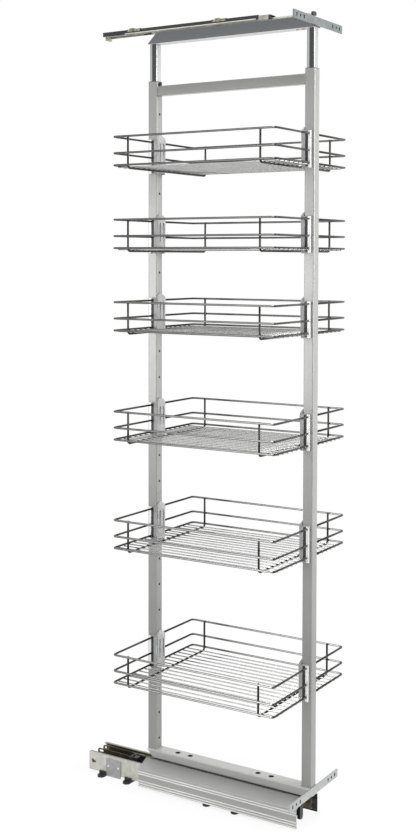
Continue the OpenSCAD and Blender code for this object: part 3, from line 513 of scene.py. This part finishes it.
# %% Sizes of a basket
RIM_R, FLOOR_R, WELD = 2.5, 1.5, 0.5
RIM_MID, RIM_TOP = 28.0, 66.0
RIM_X, RIM_Y, RIM_CORNER = 172.5, 215.0, 8.0
BOW_X, BOW_Y, BOW_BEND = RIM_X - 2 * RIM_R + WELD, 175.5, 8.0
FLOOR_Z = -(RIM_R + FLOOR_R - WELD)
BOW_Z = 2 * FLOOR_Z
FLOOR_PITCH, FLOOR_HALF = 21.5, 7
BOW_RISE, BEAD_R, BEAD_OUT, BEAD_REFLECTION = 1.3, 2.1, 2.3, 0.45
BEND_FROM, SIDE_TO, TONE_STEP = RIM_Y - RIM_CORNER + 2.5, RIM_X - 0.6, 3.0
SIDE_REFLECTION = [(0.76, 0.94), (0.76, 0.94), (0.68, 0.92), (0.48, 0.90), (0.32, 0.86), (0.20, 0.84)]
FLOOR_REFLECTION = [(0.38, 0.46), (0.38, 0.46), (0.34, 0.46), (0.28, 0.50), (0.15, 0.50), (0.10, 0.50)]
FLAT_X, FLAT_T, FLAT_W = 16.0, 2.5, 7.0
FLAT_FOOT, FLAT_RISE, FLAT_SHIFT = 10.5, 6.0, 2.0
GAP_SHADE_T, GAP_SHADE_W, GAP_SHADE_Y, GAP_SHADE_Z = 0.9, 6.6, 209.8, (-8, 70)
FRAME_Y = centre_of("bottom_tube")[1]
print("a basket has", 2 * FLOOR_HALF + 1, "floor wires,", FLOOR_PITCH, "mm apart")

# %% [markdown]
# ## Shapes of one basket
# Each function returns stacks of rings for a basket whose middle is at y0 and whose bottom
# rim lies at z0. A wire comes with its mask, one value for each of its rings.

# %% Wires, flats and pads
def bead(x, y, z):
    """Weld bead: a small ball flattened to 0.7, as half circle (r cos a, 0.7 r sin a) turned
    upright."""
    a = np.radians(np.linspace(-84, 84, 7))
    half = np.stack([BEAD_R * np.cos(a), 0.7 * BEAD_R * np.sin(a)], -1)
    return turned(half, (x, y, z), (0, 0, 1), 8)


def basket_shapes(y0, z0, side, floor):
    """All wires with their masks, which paint the chrome's reflection. Side and floor wires go
    from the first tone given at the front to the second at the rear, and what runs across or
    upright gets the darkest painted reflection (1). Round a corner the mask is the greater of
    clip((SIDE_TO - across) / TONE_STEP, side tone, 1) and clip((along - BEND_FROM) / TONE_STEP, 0,
    1)."""
    shapes, ends = [], [y0 - RIM_Y, y0 + RIM_Y]
    for level in (0, RIM_MID, RIM_TOP):
        for s in (-1, 1):
            inside, outside, z = s * (FLAT_X + 1), s * RIM_X, z0 + level
            line = bent([[inside, ends[0], z], [outside, ends[0], z],
                         [outside, ends[1], z], [inside, ends[1], z]], RIM_CORNER)
            rings = wire(line, (0, 0, 1), RIM_R, 14)
            across, along = abs(rings.mean(1)[:, :2] - [0, y0]).T
            bend = np.clip((along - BEND_FROM) / TONE_STEP, 0, 1)
            tone = np.interp(rings.mean(1)[:, 1], ends, side)
            tone = np.maximum(np.clip((SIDE_TO - across) / TONE_STEP, tone, 1), bend)
            shapes.append((rings, tone[:, None]))
            for e in (-1, 1):
                shapes.append((bead(s * (BOW_X + BEAD_OUT), y0 + e * BOW_Y, z), BEAD_REFLECTION))
    for e in (-1, 1):
        y, top, bottom = y0 + e * BOW_Y, z0 + RIM_TOP + BOW_RISE, z0 + BOW_Z
        line = bent([[-BOW_X, y, top], [-BOW_X, y, bottom], [BOW_X, y, bottom], [BOW_X, y, top]],
                    BOW_BEND)
        shapes.append((wire(line, (0, 1, 0), RIM_R, 14), 1.0))
    for i in range(-FLOOR_HALF, FLOOR_HALF + 1):
        # the middle wire stops short of the uprights, the others reach the end rims
        x, z, reach = i * FLOOR_PITCH, z0 + FLOOR_Z, RIM_Y if i else BOW_Y + 4
        rings = wire(straight((x, y0 - reach, z), (x, y0 + reach, z), 4), (0, 0, 1), FLOOR_R, 10)
        shapes.append((rings, np.interp(rings.mean(1)[:, 1], ends, floor)[:, None]))
    return shapes


def flat_shapes(y0, z0):
    """The four steel flats: rounded strips beside the clips."""
    lo, hi = z0 - FLAT_FOOT, z0 + RIM_TOP + FLAT_RISE
    strip = oblong(FLAT_T, FLAT_W, 0.6, 3)
    return [upward(strip + [s * (FLAT_X + FLAT_T / 2), y0 + e * (RIM_Y + FLAT_SHIFT)],
                   [lo, lo + 0.3, hi - 0.3, hi]) for s in (-1, 1) for e in (-1, 1)]


def gap_shade_shapes(y0, z0):
    """Black strips of painted shadow on a clip's cheeks, in the gap between a cheek's thick part
    and the flat.
    """
    shade_strip, levels = oblong(GAP_SHADE_T, GAP_SHADE_W, 0.2, 2), [z0 + z for z in GAP_SHADE_Z]
    return [upward(shade_strip + [s * (FLAT_X + 0.5), y0 + e * GAP_SHADE_Y], levels)
            for s in (-1, 1) for e in (-1, 1)]


print("wires and beads of a basket:", len(basket_shapes(0, 0, SIDE_REFLECTION[0], FLOOR_REFLECTION[0])))

# %% [markdown]
# ## Six baskets
# The six are alike and hang at heights read from the solids. Lower baskets are seen more
# from above and mirror a brighter part of the room, so their painted reflection is lighter.

# %% Hang the baskets
for n in range(1, 7):
    low, high = corners_of(f"basket_{n}")
    base = low[2] - BOW_Z + RIM_R
    shapes = basket_shapes(FRAME_Y, base, SIDE_REFLECTION[n - 1], FLOOR_REFLECTION[n - 1])
    basket = build(f"Basket_{n}_Wires", [rings for rings, tone in shapes], 40)
    mask(basket, np.concatenate([np.broadcast_to(tone, rings.shape[:2]).ravel()
                                 for rings, tone in shapes]))
    place(basket, f"basket_{n}", "chrome", CHROME, f"basket_{n}")
    flats = build(f"Basket_{n}_Flats", flat_shapes(FRAME_Y, base), 40)
    place(flats, f"basket_{n}", "screw", FLAT_STEEL)
    # black strips of painted shadow in the gaps beside the clips
    gap_shade = build(f"Basket_{n}_Gap_Shade", gap_shade_shapes(FRAME_Y, base), 40)
    place(gap_shade, f"basket_{n}", "black", BLACK)
    clip = softened(f"basket_{n}_clips", f"Basket_{n}_Clips", 0.7)
    place(clip, f"basket_{n}", "clip_grey", CLIP_PLASTIC, f"basket_{n}_clips")
print("basket:", len(basket.data.polygons), "faces")

# %% [markdown]
# ## Uprights, bars and bottom tube
# Square and flat steel tube, powder coated. The solids already have the right walls, peg
# holes and sloped ends, so these are softened copies. A mask worked out from each point's
# height paints shade on the sides and the top of a bar against its lightest face, and on
# the bottom tube below its top face.

# %% Painted tubes
ON_FACE, TOP_EDGE = 0.4, 0.9
for node, title in (("front_upright", "Front_Upright"), ("rear_upright", "Rear_Upright")):
    place(softened(node, title, 0.25), "frame", "paint", PAINT, node)
tube = softened("bottom_tube", "Bottom_Tube", 0.3)
mask(tube, points_of(tube)[:, 2] < corners_of("bottom_tube")[1][2] - ON_FACE)
place(tube, "frame", "paint", FOOT_LIGHT_AND_SHADE, "bottom_tube")
for node, title, side, body, slot, look in (
        ("cross_bar", "Cross_Bar", 0.67, "frame", "paint", CROSS_LIGHT_AND_SHADE),
        ("top_bar", "Top_Bar", 1.0, "top_section", "top_paint", TOP_LIGHT_AND_SHADE)):
    tube = softened(node, title, 0.25)
    height, (bottom, top) = points_of(tube)[:, 2], [c[2] for c in corners_of(node)]
    mask(tube, np.where(height > top - TOP_EDGE, 1.0, side) * (height > bottom + ON_FACE))
    place(tube, body, slot, look, node)
print("top bar:", len(tube.data.polygons), "faces")

# %% [markdown]
# ## Weld seams
# The uprights stand on the bottom tube, and the cross bar is welded between them. A seam is
# a thin wire laid along the joint, whose thickness swells and shrinks as a weld's does.

# %% Welds
UP_HALF, UP_SPAN, SEAM_SHORT = 12.5, 214.0, 2.5


def weld_seam(points, r):
    """Weld along a line: a wire whose thickness swells and shrinks by a fifth."""
    points = np.array(points)
    legs = [straight(p, q, 14)[:-1] for p, q in zip(points[:-1], points[1:])]
    rings = wire(np.concatenate(legs + [points[-1:]]), (0, 0, 1), r, 8)
    middle = rings.mean(1, keepdims=True)
    swell = 1 + 0.2 * np.sin(np.arange(len(rings)) * 1.9)
    return middle + (rings - middle) * swell[:, None, None]


foot = corners_of("bottom_tube")[1][2]
low, high = corners_of("cross_bar")
seams = []
for e in (-1, 1):
    near, far = FRAME_Y + e * (UP_SPAN - UP_HALF), FRAME_Y + e * (UP_SPAN + UP_HALF - SEAM_SHORT)
    seams.append(weld_seam([[-UP_HALF, far, foot], [-UP_HALF, near, foot],
                            [UP_HALF, near, foot], [UP_HALF, far, foot]], 1.5))
    for z in (high[2], low[2]):
        seams.append(weld_seam([[low[0] + 3, near, z], [high[0] - 3, near, z]], 1.0))
place(build("Frame_Welds", seams, 60), "frame", "paint", PAINT)
print("weld seams:", len(seams))

# %% [markdown]
# ## Painted shade inside the tubes
# A hole in a tube looks black, because hardly any light gets in. Matt dark strips of painted
# shade stand behind the peg holes, and matt dark discs of painted shade lie in the four tool
# holes of the bottom tube.

# %% Strips and discs
UP_WALL, STRIP_W, STRIP_T, STRIP_TOP = 1.5, 17, 0.2, 1600
TOOL_HOLE_Y, DISC_R, DISC_DROP = (146, 110, -80, -116), 6.4, 0.5
behind = UP_SPAN - UP_HALF + UP_WALL + 0.25
shade_sheets = [upward(oblong(STRIP_W, STRIP_T, 0.05, 1) + [0, FRAME_Y + e * behind],
                 [foot + 1, foot + STRIP_TOP]) for e in (-1, 1)]
disc = [[DISC_R, -0.1], [DISC_R, 0.1]]
shade_sheets += [turned(disc, (0, FRAME_Y + y, foot - DISC_DROP), (0, 0, 1), 24) for y in TOOL_HOLE_Y]
place(build("Tube_Shade_Sheets", shade_sheets, 40), "frame", "black", HOLE_SHADE)
print("dark strips and discs:", len(shade_sheets))

# %% [markdown]
# ## Painted shade in holes and slots
# Seen at a slant, a hole in a sheet shows the cut edge, which lies in shade. A thin sleeve
# of painted shade lines each slot of the door brackets and each peg hole that holds no peg.

# %% Sleeves
HOLES, FIRST_HOLE, HOLE_PITCH, HOLE_W = 25, 26, 64, 6
PEG_HOLES = (23, 20, 17, 13, 9, 4)
BRACKET_T, SLOT_DROP = 2.5, 9.25
BRACKET_SLOTS = ((70, 5, 9), (105, 5, 9), (87.5, 6, 6))    # place along X, width, height
SLEEVE, SLEEVE_SET = (0.04, 0.5), 0.15


def hollow(outer, inner, place_at):
    """Closed loop of rings round a tube: outer wall out and inner wall back; place_at turns
    (outline, end) into a ring."""
    sides = ((outer, 0), (outer, 1), (inner, 1), (inner, 0))
    return np.stack([place_at(line, k) for line, k in sides]), True


def slot_shade(w, h, x, y, z, deep):
    """Thin sleeve of painted shade on the wall of a round-ended slot w by h in a sheet as thick
    as deep, with its middle at x, z and its front at y."""
    lines = [oblong(w - less, h - less, (w - less) / 2 - 0.02) for less in SLEEVE]
    ends = [y + SLEEVE_SET, y + deep - SLEEVE_SET]
    return hollow(*lines, lambda line, k: run(line + [x, z], ends)[k])


for node, title, body in (("bottom_door_bracket", "Bottom_Slot_Shade", "frame"),
                          ("top_door_bracket", "Top_Slot_Shade", "top_section")):
    low, high = corners_of(node)
    edges = [slot_shade(w, h, s * x, low[1], high[2] - SLOT_DROP, BRACKET_T)
             for x, w, h in BRACKET_SLOTS for s in (-1, 1)]
    place(build(title, edges, 40), body, "black", HOLE_SHADE)
sole = corners_of("front_upright")[0][2]
levels = [sole + FIRST_HOLE + i * HOLE_PITCH for i in range(HOLES) if i not in PEG_HOLES]
fronts = [FRAME_Y - (UP_SPAN - UP_HALF) - UP_WALL, FRAME_Y + (UP_SPAN - UP_HALF)]
edges = [slot_shade(HOLE_W, HOLE_W, 0, y, z, UP_WALL) for y in fronts for z in levels]
place(build("Peg_Hole_Shade", edges, 40), "frame", "black", HOLE_SHADE)
print("free peg holes:", len(edges))

# %% [markdown]
# ## The two covers
# Extruded aluminium with long ribs, one each side of the runner. Each corner of the outline
# gets its own radius, as the die gives it, and the outline is then carried along the depth.

# %% Outline of a cover
cover_lo, cover_hi = corners_of("right_cover")
RIB, COVER_T, LIP_X, SLOPE_X = 0.8, 1.6, 14.6, 20.5
COVER_HALF = cover_hi[0] - RIB
CARRIAGE_Z, COVER_FOOT, COVER_KNEE = cover_hi[2], cover_lo[2], 49.5
RIB_Z = [COVER_KNEE - 7.7, COVER_KNEE - 13.3, COVER_FOOT + 13.2, COVER_FOOT + 7.2, COVER_FOOT + 1.5]


def cover_outline():
    """Outline of the right cover: lip, slope, ribbed wall outside and in."""
    x1, x2 = COVER_HALF, COVER_HALF - COVER_T
    points, radii = [[LIP_X, CARRIAGE_Z], [SLOPE_X, CARRIAGE_Z], [x1, COVER_KNEE]], [0.2, 2.0, 1.2]
    for z in RIB_Z:
        points += [[x1, z + 2.3], [x1 + RIB, z + 0.7], [x1 + RIB, z - 0.8], [x1, z - 1.3]]
        radii += [0.4, 0.3, 0.3, 0.4]
    points, radii = points[:-1], radii[:-1]
    points += [[x1, COVER_FOOT], [x2, COVER_FOOT]]
    radii += [0.2, 0.2]
    inside, turns = [], []
    for z in RIB_Z[::-1]:
        inside += [[x2, z - 1.3], [x2 - RIB, z - 0.8], [x2 - RIB, z + 0.7], [x2, z + 2.3]]
        turns += [0.4, 0.3, 0.3, 0.4]
    points, radii = points + inside[1:], radii + turns[1:]
    points += [[x2, COVER_KNEE - 0.55 * COVER_T], [SLOPE_X - 0.5, CARRIAGE_Z - COVER_T],
               [LIP_X, CARRIAGE_Z - COVER_T]]
    radii += [0.6, 1.0, 0.2]
    return rounded(points, radii, 3)


outline = cover_outline()
print("points round a cover:", len(outline))

# %% [markdown]
# ## Painted reflection and shade on a cover
# The slope mirrors the dark underside of the baskets and the wall a paler part of the room,
# and both reflections are painted in. The ribs stand out as painted light lines, and the
# inside is painted shade. One tone for each point of the outline says so, repeated at each ring.

# %% Covers
SLOPE_REFLECTION, WALL_REFLECTION = 0.58, 0.36
out_x, out_z = outline.T
inner = (out_x < COVER_HALF - COVER_T + 0.1) & (out_z < CARRIAGE_Z - 0.5 * (out_x - 20) - 1)
wall = np.clip(WALL_REFLECTION - (out_x - COVER_HALF), 0, WALL_REFLECTION)
reflection_and_shade = np.where(inner, 1.0, np.where(out_z > COVER_KNEE + 0.5, SLOPE_REFLECTION, wall))
ends = [cover_lo[1], cover_lo[1] + 0.3, cover_hi[1] - 0.3, cover_hi[1]]
for side, title, node in ((-1, "Left_Cover", "left_cover"), (1, "Right_Cover", "right_cover")):
    cover = build(title, [run(outline * [side, 1], ends)], 25)
    mask(cover, np.tile(reflection_and_shade, len(ends)))
    place(cover, "frame", "alu", ALUMINIUM, node)
print("covers:", round(ends[-1] - ends[0]), "mm long")

# %% [markdown]
# ## Floor channel and runners
# Folded and plated sheet, and small moulded pieces. They keep their solids' shape with
# softened edges, so a table gives each one's name, bevel, body, slot and finish. The channel
# is the yellowest piece, and the plates at its sides are plain grey.

# %% Channel and runners
# the rails, the damper bracket and the carriage plate get the dark steel of painted shade
SHEET = {
    "floor_channel": ("Floor_Channel", 0.5, "floor_runner", "zinc", ZINC),
    "fixed_rail_left": ("Fixed_Rail_Left", 0.4, "floor_runner", "zinc", SHADED_STEEL),
    "fixed_rail_right": ("Fixed_Rail_Right", 0.4, "floor_runner", "zinc", SHADED_STEEL),
    "damper_bracket": ("Damper_Bracket", 0.35, "floor_runner", "zinc", SHADED_STEEL),
    "channel_side_plates": ("Channel_Side_Plates", 0.3, "floor_runner", "zinc_grey", SIDE_PLATE),
    "floor_clips": ("Floor_Clips", 0.6, "floor_runner", "black", BLACK),
    "damper_cylinder": ("Damper_Cylinder", 0.4, "floor_runner", "black", BLACK),
    "damper_rod": ("Damper_Rod", 0.3, "soft_close_slider", "screw", SCREW),
    "latch_slider": ("Latch_Slider", 0.5, "soft_close_slider", "black", BLACK),
    "middle_rail_left": ("Middle_Rail_Left", 0.4, "middle_runner", "zinc", SPRING),
    "middle_rail_right": ("Middle_Rail_Right", 0.4, "middle_runner", "zinc", SPRING),
    "frame_rail_left": ("Frame_Rail_Left", 0.4, "frame", "alu", SHADED_STEEL),
    "frame_rail_right": ("Frame_Rail_Right", 0.4, "frame", "alu", SHADED_STEEL),
    "carriage_plate": ("Carriage_Plate", 0.3, "frame", "zinc", SHADED_STEEL),
    "damper_catch": ("Damper_Catch", 0.4, "frame", "black", BLACK),
    "rail_front_buffer": ("Rail_Front_Buffer", 0.8, "frame", "black", BLACK),
    "post_bushes": ("Post_Bushes", 0.3, "frame", "bush", BUSH_PLASTIC),
    "clamp_screws": ("Clamp_Screws", 0.35, "frame", "black", BLACK),
    "carriage_screws": ("Carriage_Screws", 0.25, "frame", "black", BLACK),
    "bottom_door_bracket": ("Bottom_Door_Bracket", 0.3, "frame", "zinc_grey", PLATE_ZINC),
    "top_door_bracket": ("Top_Door_Bracket", 0.3, "top_section", "zinc_grey", TOP_PLATE),
    "top_moving_rail": ("Top_Moving_Rail", 0.3, "top_section", "zinc", ZINC),
    "top_rail_end_cap": ("Top_Rail_End_Cap", 0.5, "top_section", "black", BLACK),
    "top_middle_rail": ("Top_Middle_Rail", 0.3, "top_middle", "zinc", TOP_ZINC),
    "top_middle_ends": ("Top_Middle_Ends", 0.4, "top_middle", "black", BLACK),
    "top_fixed_rail": ("Top_Fixed_Rail", 0.3, "top_fixed", "zinc", TOP_ZINC),
    "top_rail_cap": ("Top_Rail_Cap", 0.4, "top_fixed", "black", BLACK),
    "top_rail_bumper": ("Top_Rail_Bumper", 0.6, "top_fixed", "black", BLACK),
    "ceiling_clips": ("Ceiling_Clips", 0.25, "top_fixed", "zinc", SPRING),
}
# all of the floor channel but its left edge lies under the runners, and its mask gives it the
# zinc's dark tone as painted shade
CHANNEL_SHADE_FROM, CHANNEL_SHADE_TO = -30, corners_of("floor_channel")[1][0] - 0.8
for node, (title, edge, body, slot, look) in SHEET.items():
    piece = softened(node, title, edge)
    if node == "floor_channel":
        x = points_of(piece)[:, 0]
        mask(piece, (x > CHANNEL_SHADE_FROM) & (x < CHANNEL_SHADE_TO))
    place(piece, body, slot, look, node)
print("sheet and moulded pieces:", len(SHEET))

# %% [markdown]
# ## Lips of the top slide
# The fixed rail's plated edges show as a bright line beside the black cap. Two thin strips
# at the foot of the cap stand for them.

# %% Lips
LIP_T, LIP_LONG, LIP_MID, LIP_RISE = 0.6, 370, 190, (0.2, 2.7)
low, high = corners_of("top_rail_cap")
levels = [low[2] + z for z in LIP_RISE]
lips = [upward(oblong(LIP_T, LIP_LONG, 0.2, 1) + [s * (high[0] - 0.1), low[1] + LIP_MID], levels)
        for s in (-1, 1)]
place(build("Top_Rail_Lips", lips, 40), "top_fixed", "zinc", ZINC)
print("lips:", LIP_LONG, "mm long")

# %% [markdown]
# ## Rivets, pegs and screws
# A rivet head is a low dome, turned from its half outline. The pegs and the screws have
# recesses and flats, so they stay softened copies of their solids.

# %% Fasteners
RIVET_X, RIVET_R, RIVET_H = 38.5, 3.5, 1.6


def dome(centre, axis, r, h):
    """Low dome: outline (r cos a, h sin a) with a flat foot."""
    a = np.linspace(0, np.radians(86), 6)
    return turned(np.stack([r * np.cos(a), h * np.sin(a)], -1), centre, axis, 20)


lo, hi = corners_of("channel_rivets")
middle = (lo[2] + hi[2]) / 2
heads = [dome((s * RIVET_X, y, middle), (s, 0, 0), RIVET_R, RIVET_H)
         for s in (-1, 1) for y in (lo[1] + RIVET_R, hi[1] - RIVET_R)]
place(build("Channel_Rivets", heads, 50), "floor_runner", "screw", SCREW, "channel_rivets")
for node, edge, body in (("basket_pegs", 0.3, "frame"), ("cover_screws", 0.2, "frame"),
                         ("bottom_bracket_screws", 0.3, "frame"),
                         ("top_bracket_screws", 0.3, "top_section")):
    place(softened(node, node.title(), edge), body, "screw", SCREW, node)
print("rivet heads:", len(heads))

# %% [markdown]
# ## Ball cages
# A pressed strip with a row of balls. They sit deep between the rails, so the solids' mesh
# is only merged and shaded smooth, without a bevel.

# %% Cages
CAGES = {"outer_ball_cages": "outer_cages", "inner_ball_cages": "inner_cages",
         "top_inner_ball_cages": "top_inner_cages", "top_outer_ball_cages": "top_outer_cages"}
for node, body in CAGES.items():
    place(softened(node, node.title(), 0.0), body, "brass", CAGE, node)
print("ball cages:", len(CAGES))

# %% [markdown]
# ## Posts
# The posts slide in the uprights and are bright, drawn metal. They are plain square tubes,
# swept as hollow loops: outer wall, end face, inner wall, end face. A painted dark reflection
# runs down the front half of each post's left side.

# %% Posts
POST_WALL, POST_R, DARK_REFLECTION_END, DARK_REFLECTION_FADE = 1.5, 1.6, 2.0, 3.6


def post_tube(name, size, x, y, z0, z1):
    """Upright square tube, with two more points on its left side where the painted dark reflection
    ends.
    """
    bore = size - 2 * POST_WALL
    lines = []
    for width, r in ((size, POST_R), (bore, max(POST_R - POST_WALL, 0.4))):
        reflection_edge = [[-width / 2, DARK_REFLECTION_FADE], [-width / 2, DARK_REFLECTION_END]]
        lines.append(np.concatenate([oblong(width, width, r), reflection_edge]))
    rings = hollow(*lines, lambda line, k: upward(line + [x, y], [(z0, z1)[k]])[0])
    obj = build(name, [rings], 30, 0.3)
    points = points_of(obj)
    return mask(obj, (points[:, 0] < x - size / 2 + 0.05) & (points[:, 1] < y + DARK_REFLECTION_END + 0.1))


for node, title in (("front_post", "Front_Post"), ("rear_post", "Rear_Post")):
    lo, hi = corners_of(node)
    x, y = (lo[:2] + hi[:2]) / 2
    post = post_tube(title, hi[0] - lo[0], x, y, lo[2], hi[2])
    place(post, "top_section", "post_alu", POST_METAL, node)
print("posts:", round(hi[2] - lo[2]), "mm long")

# %% [markdown]
# ## Floor
# The photograph is a cut-out on white. The floor glows nearly white for the camera and for
# reflections near the unit, which leaves a faint shadow, and fully white from FADE_TO metres
# outwards, where it runs into the white world. All other light meets a plain pale floor.

# %% Floor
FADE_FROM, FADE_TO, NEAR_SHARE, FLOOR_HALF_M = 0.35, 1.3, 0.88, 30


def make_stage():
    """Pale floor whose share of glow, for camera and glossy rays, is smoothstep(distance)
    from NEAR_SHARE to 1."""
    mat = bpy.data.materials.new("Stage floor")
    mat.use_nodes = True
    nodes, links = mat.node_tree.nodes, mat.node_tree.links
    diffuse, glow = nodes["Principled BSDF"], nodes.new("ShaderNodeEmission")
    mix = nodes.new("ShaderNodeMixShader")
    diffuse.inputs["Base Color"].default_value = (0.86, 0.86, 0.86, 1)
    diffuse.inputs["Roughness"].default_value = 0.9
    path = nodes.new("ShaderNodeLightPath")
    seen, part = nodes.new("ShaderNodeMath"), nodes.new("ShaderNodeMath")
    seen.operation, part.operation = "MAXIMUM", "MULTIPLY"
    coord, away, fade = (nodes.new("ShaderNode" + kind)
                         for kind in ("TexCoord", "VectorMath", "MapRange"))
    away.operation, fade.interpolation_type = "LENGTH", "SMOOTHSTEP"
    for label, value in (("From Min", FADE_FROM), ("From Max", FADE_TO),
                         ("To Min", NEAR_SHARE), ("To Max", 1.0)):
        fade.inputs[label].default_value = value
    links.new(coord.outputs["Object"], away.inputs[0])
    links.new(away.outputs["Value"], fade.inputs["Value"])
    links.new(fade.outputs["Result"], part.inputs[1])
    links.new(path.outputs["Is Camera Ray"], seen.inputs[0])
    links.new(path.outputs["Is Glossy Ray"], seen.inputs[1])
    links.new(seen.outputs[0], part.inputs[0])
    links.new(part.outputs[0], mix.inputs[0])
    links.new(diffuse.outputs[0], mix.inputs[1])
    links.new(glow.outputs[0], mix.inputs[2])
    links.new(mix.outputs[0], nodes["Material Output"].inputs["Surface"])
    mesh, far = bpy.data.meshes.new("Floor"), FLOOR_HALF_M
    mesh.from_pydata([(-far, -far, 0), (far, -far, 0), (far, far, 0), (-far, far, 0)], [],
                     [(0, 1, 2, 3)])
    floor = bpy.data.objects.new("Floor", mesh)
    floor.data.materials.append(mat)
    bpy.context.scene.collection.objects.link(floor)


make_stage()
print("floor:", 2 * FLOOR_HALF_M, "m wide")

# %% [markdown]
# ## World
# The world is white wherever it is seen, straight or in a mirror, but gives the scene less
# light than that. Two backgrounds are mixed by the kind of ray.

# %% World
def make_world():
    """World: white for camera, glossy and transmission rays, dimmer for the light it gives."""
    world = bpy.data.worlds.new("Studio")
    world.use_nodes = True
    bpy.context.scene.world = world
    nodes, links = world.node_tree.nodes, world.node_tree.links
    lit, shown = nodes["Background"], nodes.new("ShaderNodeBackground")
    mix = nodes.new("ShaderNodeMixShader")
    lit.inputs["Color"].default_value, lit.inputs["Strength"].default_value = (1, 1, 1, 1), 0.35
    shown.inputs["Color"].default_value, shown.inputs["Strength"].default_value = (1, 1, 1, 1), 1.0
    path = nodes.new("ShaderNodeLightPath")
    a, b = nodes.new("ShaderNodeMath"), nodes.new("ShaderNodeMath")
    a.operation = b.operation = "MAXIMUM"
    links.new(path.outputs["Is Camera Ray"], a.inputs[0])
    links.new(path.outputs["Is Glossy Ray"], a.inputs[1])
    links.new(a.outputs[0], b.inputs[0])
    links.new(path.outputs["Is Transmission Ray"], b.inputs[1])
    links.new(b.outputs[0], mix.inputs[0])
    links.new(lit.outputs[0], mix.inputs[1])
    links.new(shown.outputs[0], mix.inputs[2])
    links.new(mix.outputs[0], nodes["World Output"].inputs["Surface"])


make_world()
print("world:", bpy.context.scene.world.name)

# %% [markdown]
# ## Lamps
# Four large soft lamps. The strongest is in front, the next hangs overhead, and the two at
# the sides are weak and lift the faces that look left and right.

# %% Lamps
def lamp(name, where, aim, wide, high, power):
    """Soft lamp wide by high at where, facing aim, in metres and watts."""
    data = bpy.data.lights.new(name, "AREA")
    data.shape, data.size, data.size_y, data.energy = "RECTANGLE", wide, high, power
    obj = bpy.data.objects.new(name, data)
    bpy.context.scene.collection.objects.link(obj)
    obj.location = where
    step = np.array(aim, float) - np.array(where, float)
    tilt_down = math.acos(-step[2] / np.linalg.norm(step))
    obj.rotation_euler = (tilt_down, 0, math.atan2(step[1], step[0]) - math.pi / 2)


lamp("Overhead", (-0.8, -0.3, 4.3), (0, -0.1, 0.9), 2.4, 2.4, 140)
lamp("Front", (0.9, -4.0, 2.0), (0, -0.1, 1.0), 2.6, 2.6, 205)
lamp("Right", (2.9, -1.9, 0.9), (0, -0.15, 0.9), 3.0, 3.0, 20)
lamp("Left", (-2.5, 1.35, 1.08), (0, -0.15, 1.05), 2.3, 0.9, 30)
print("lamps:", len(bpy.data.lights))
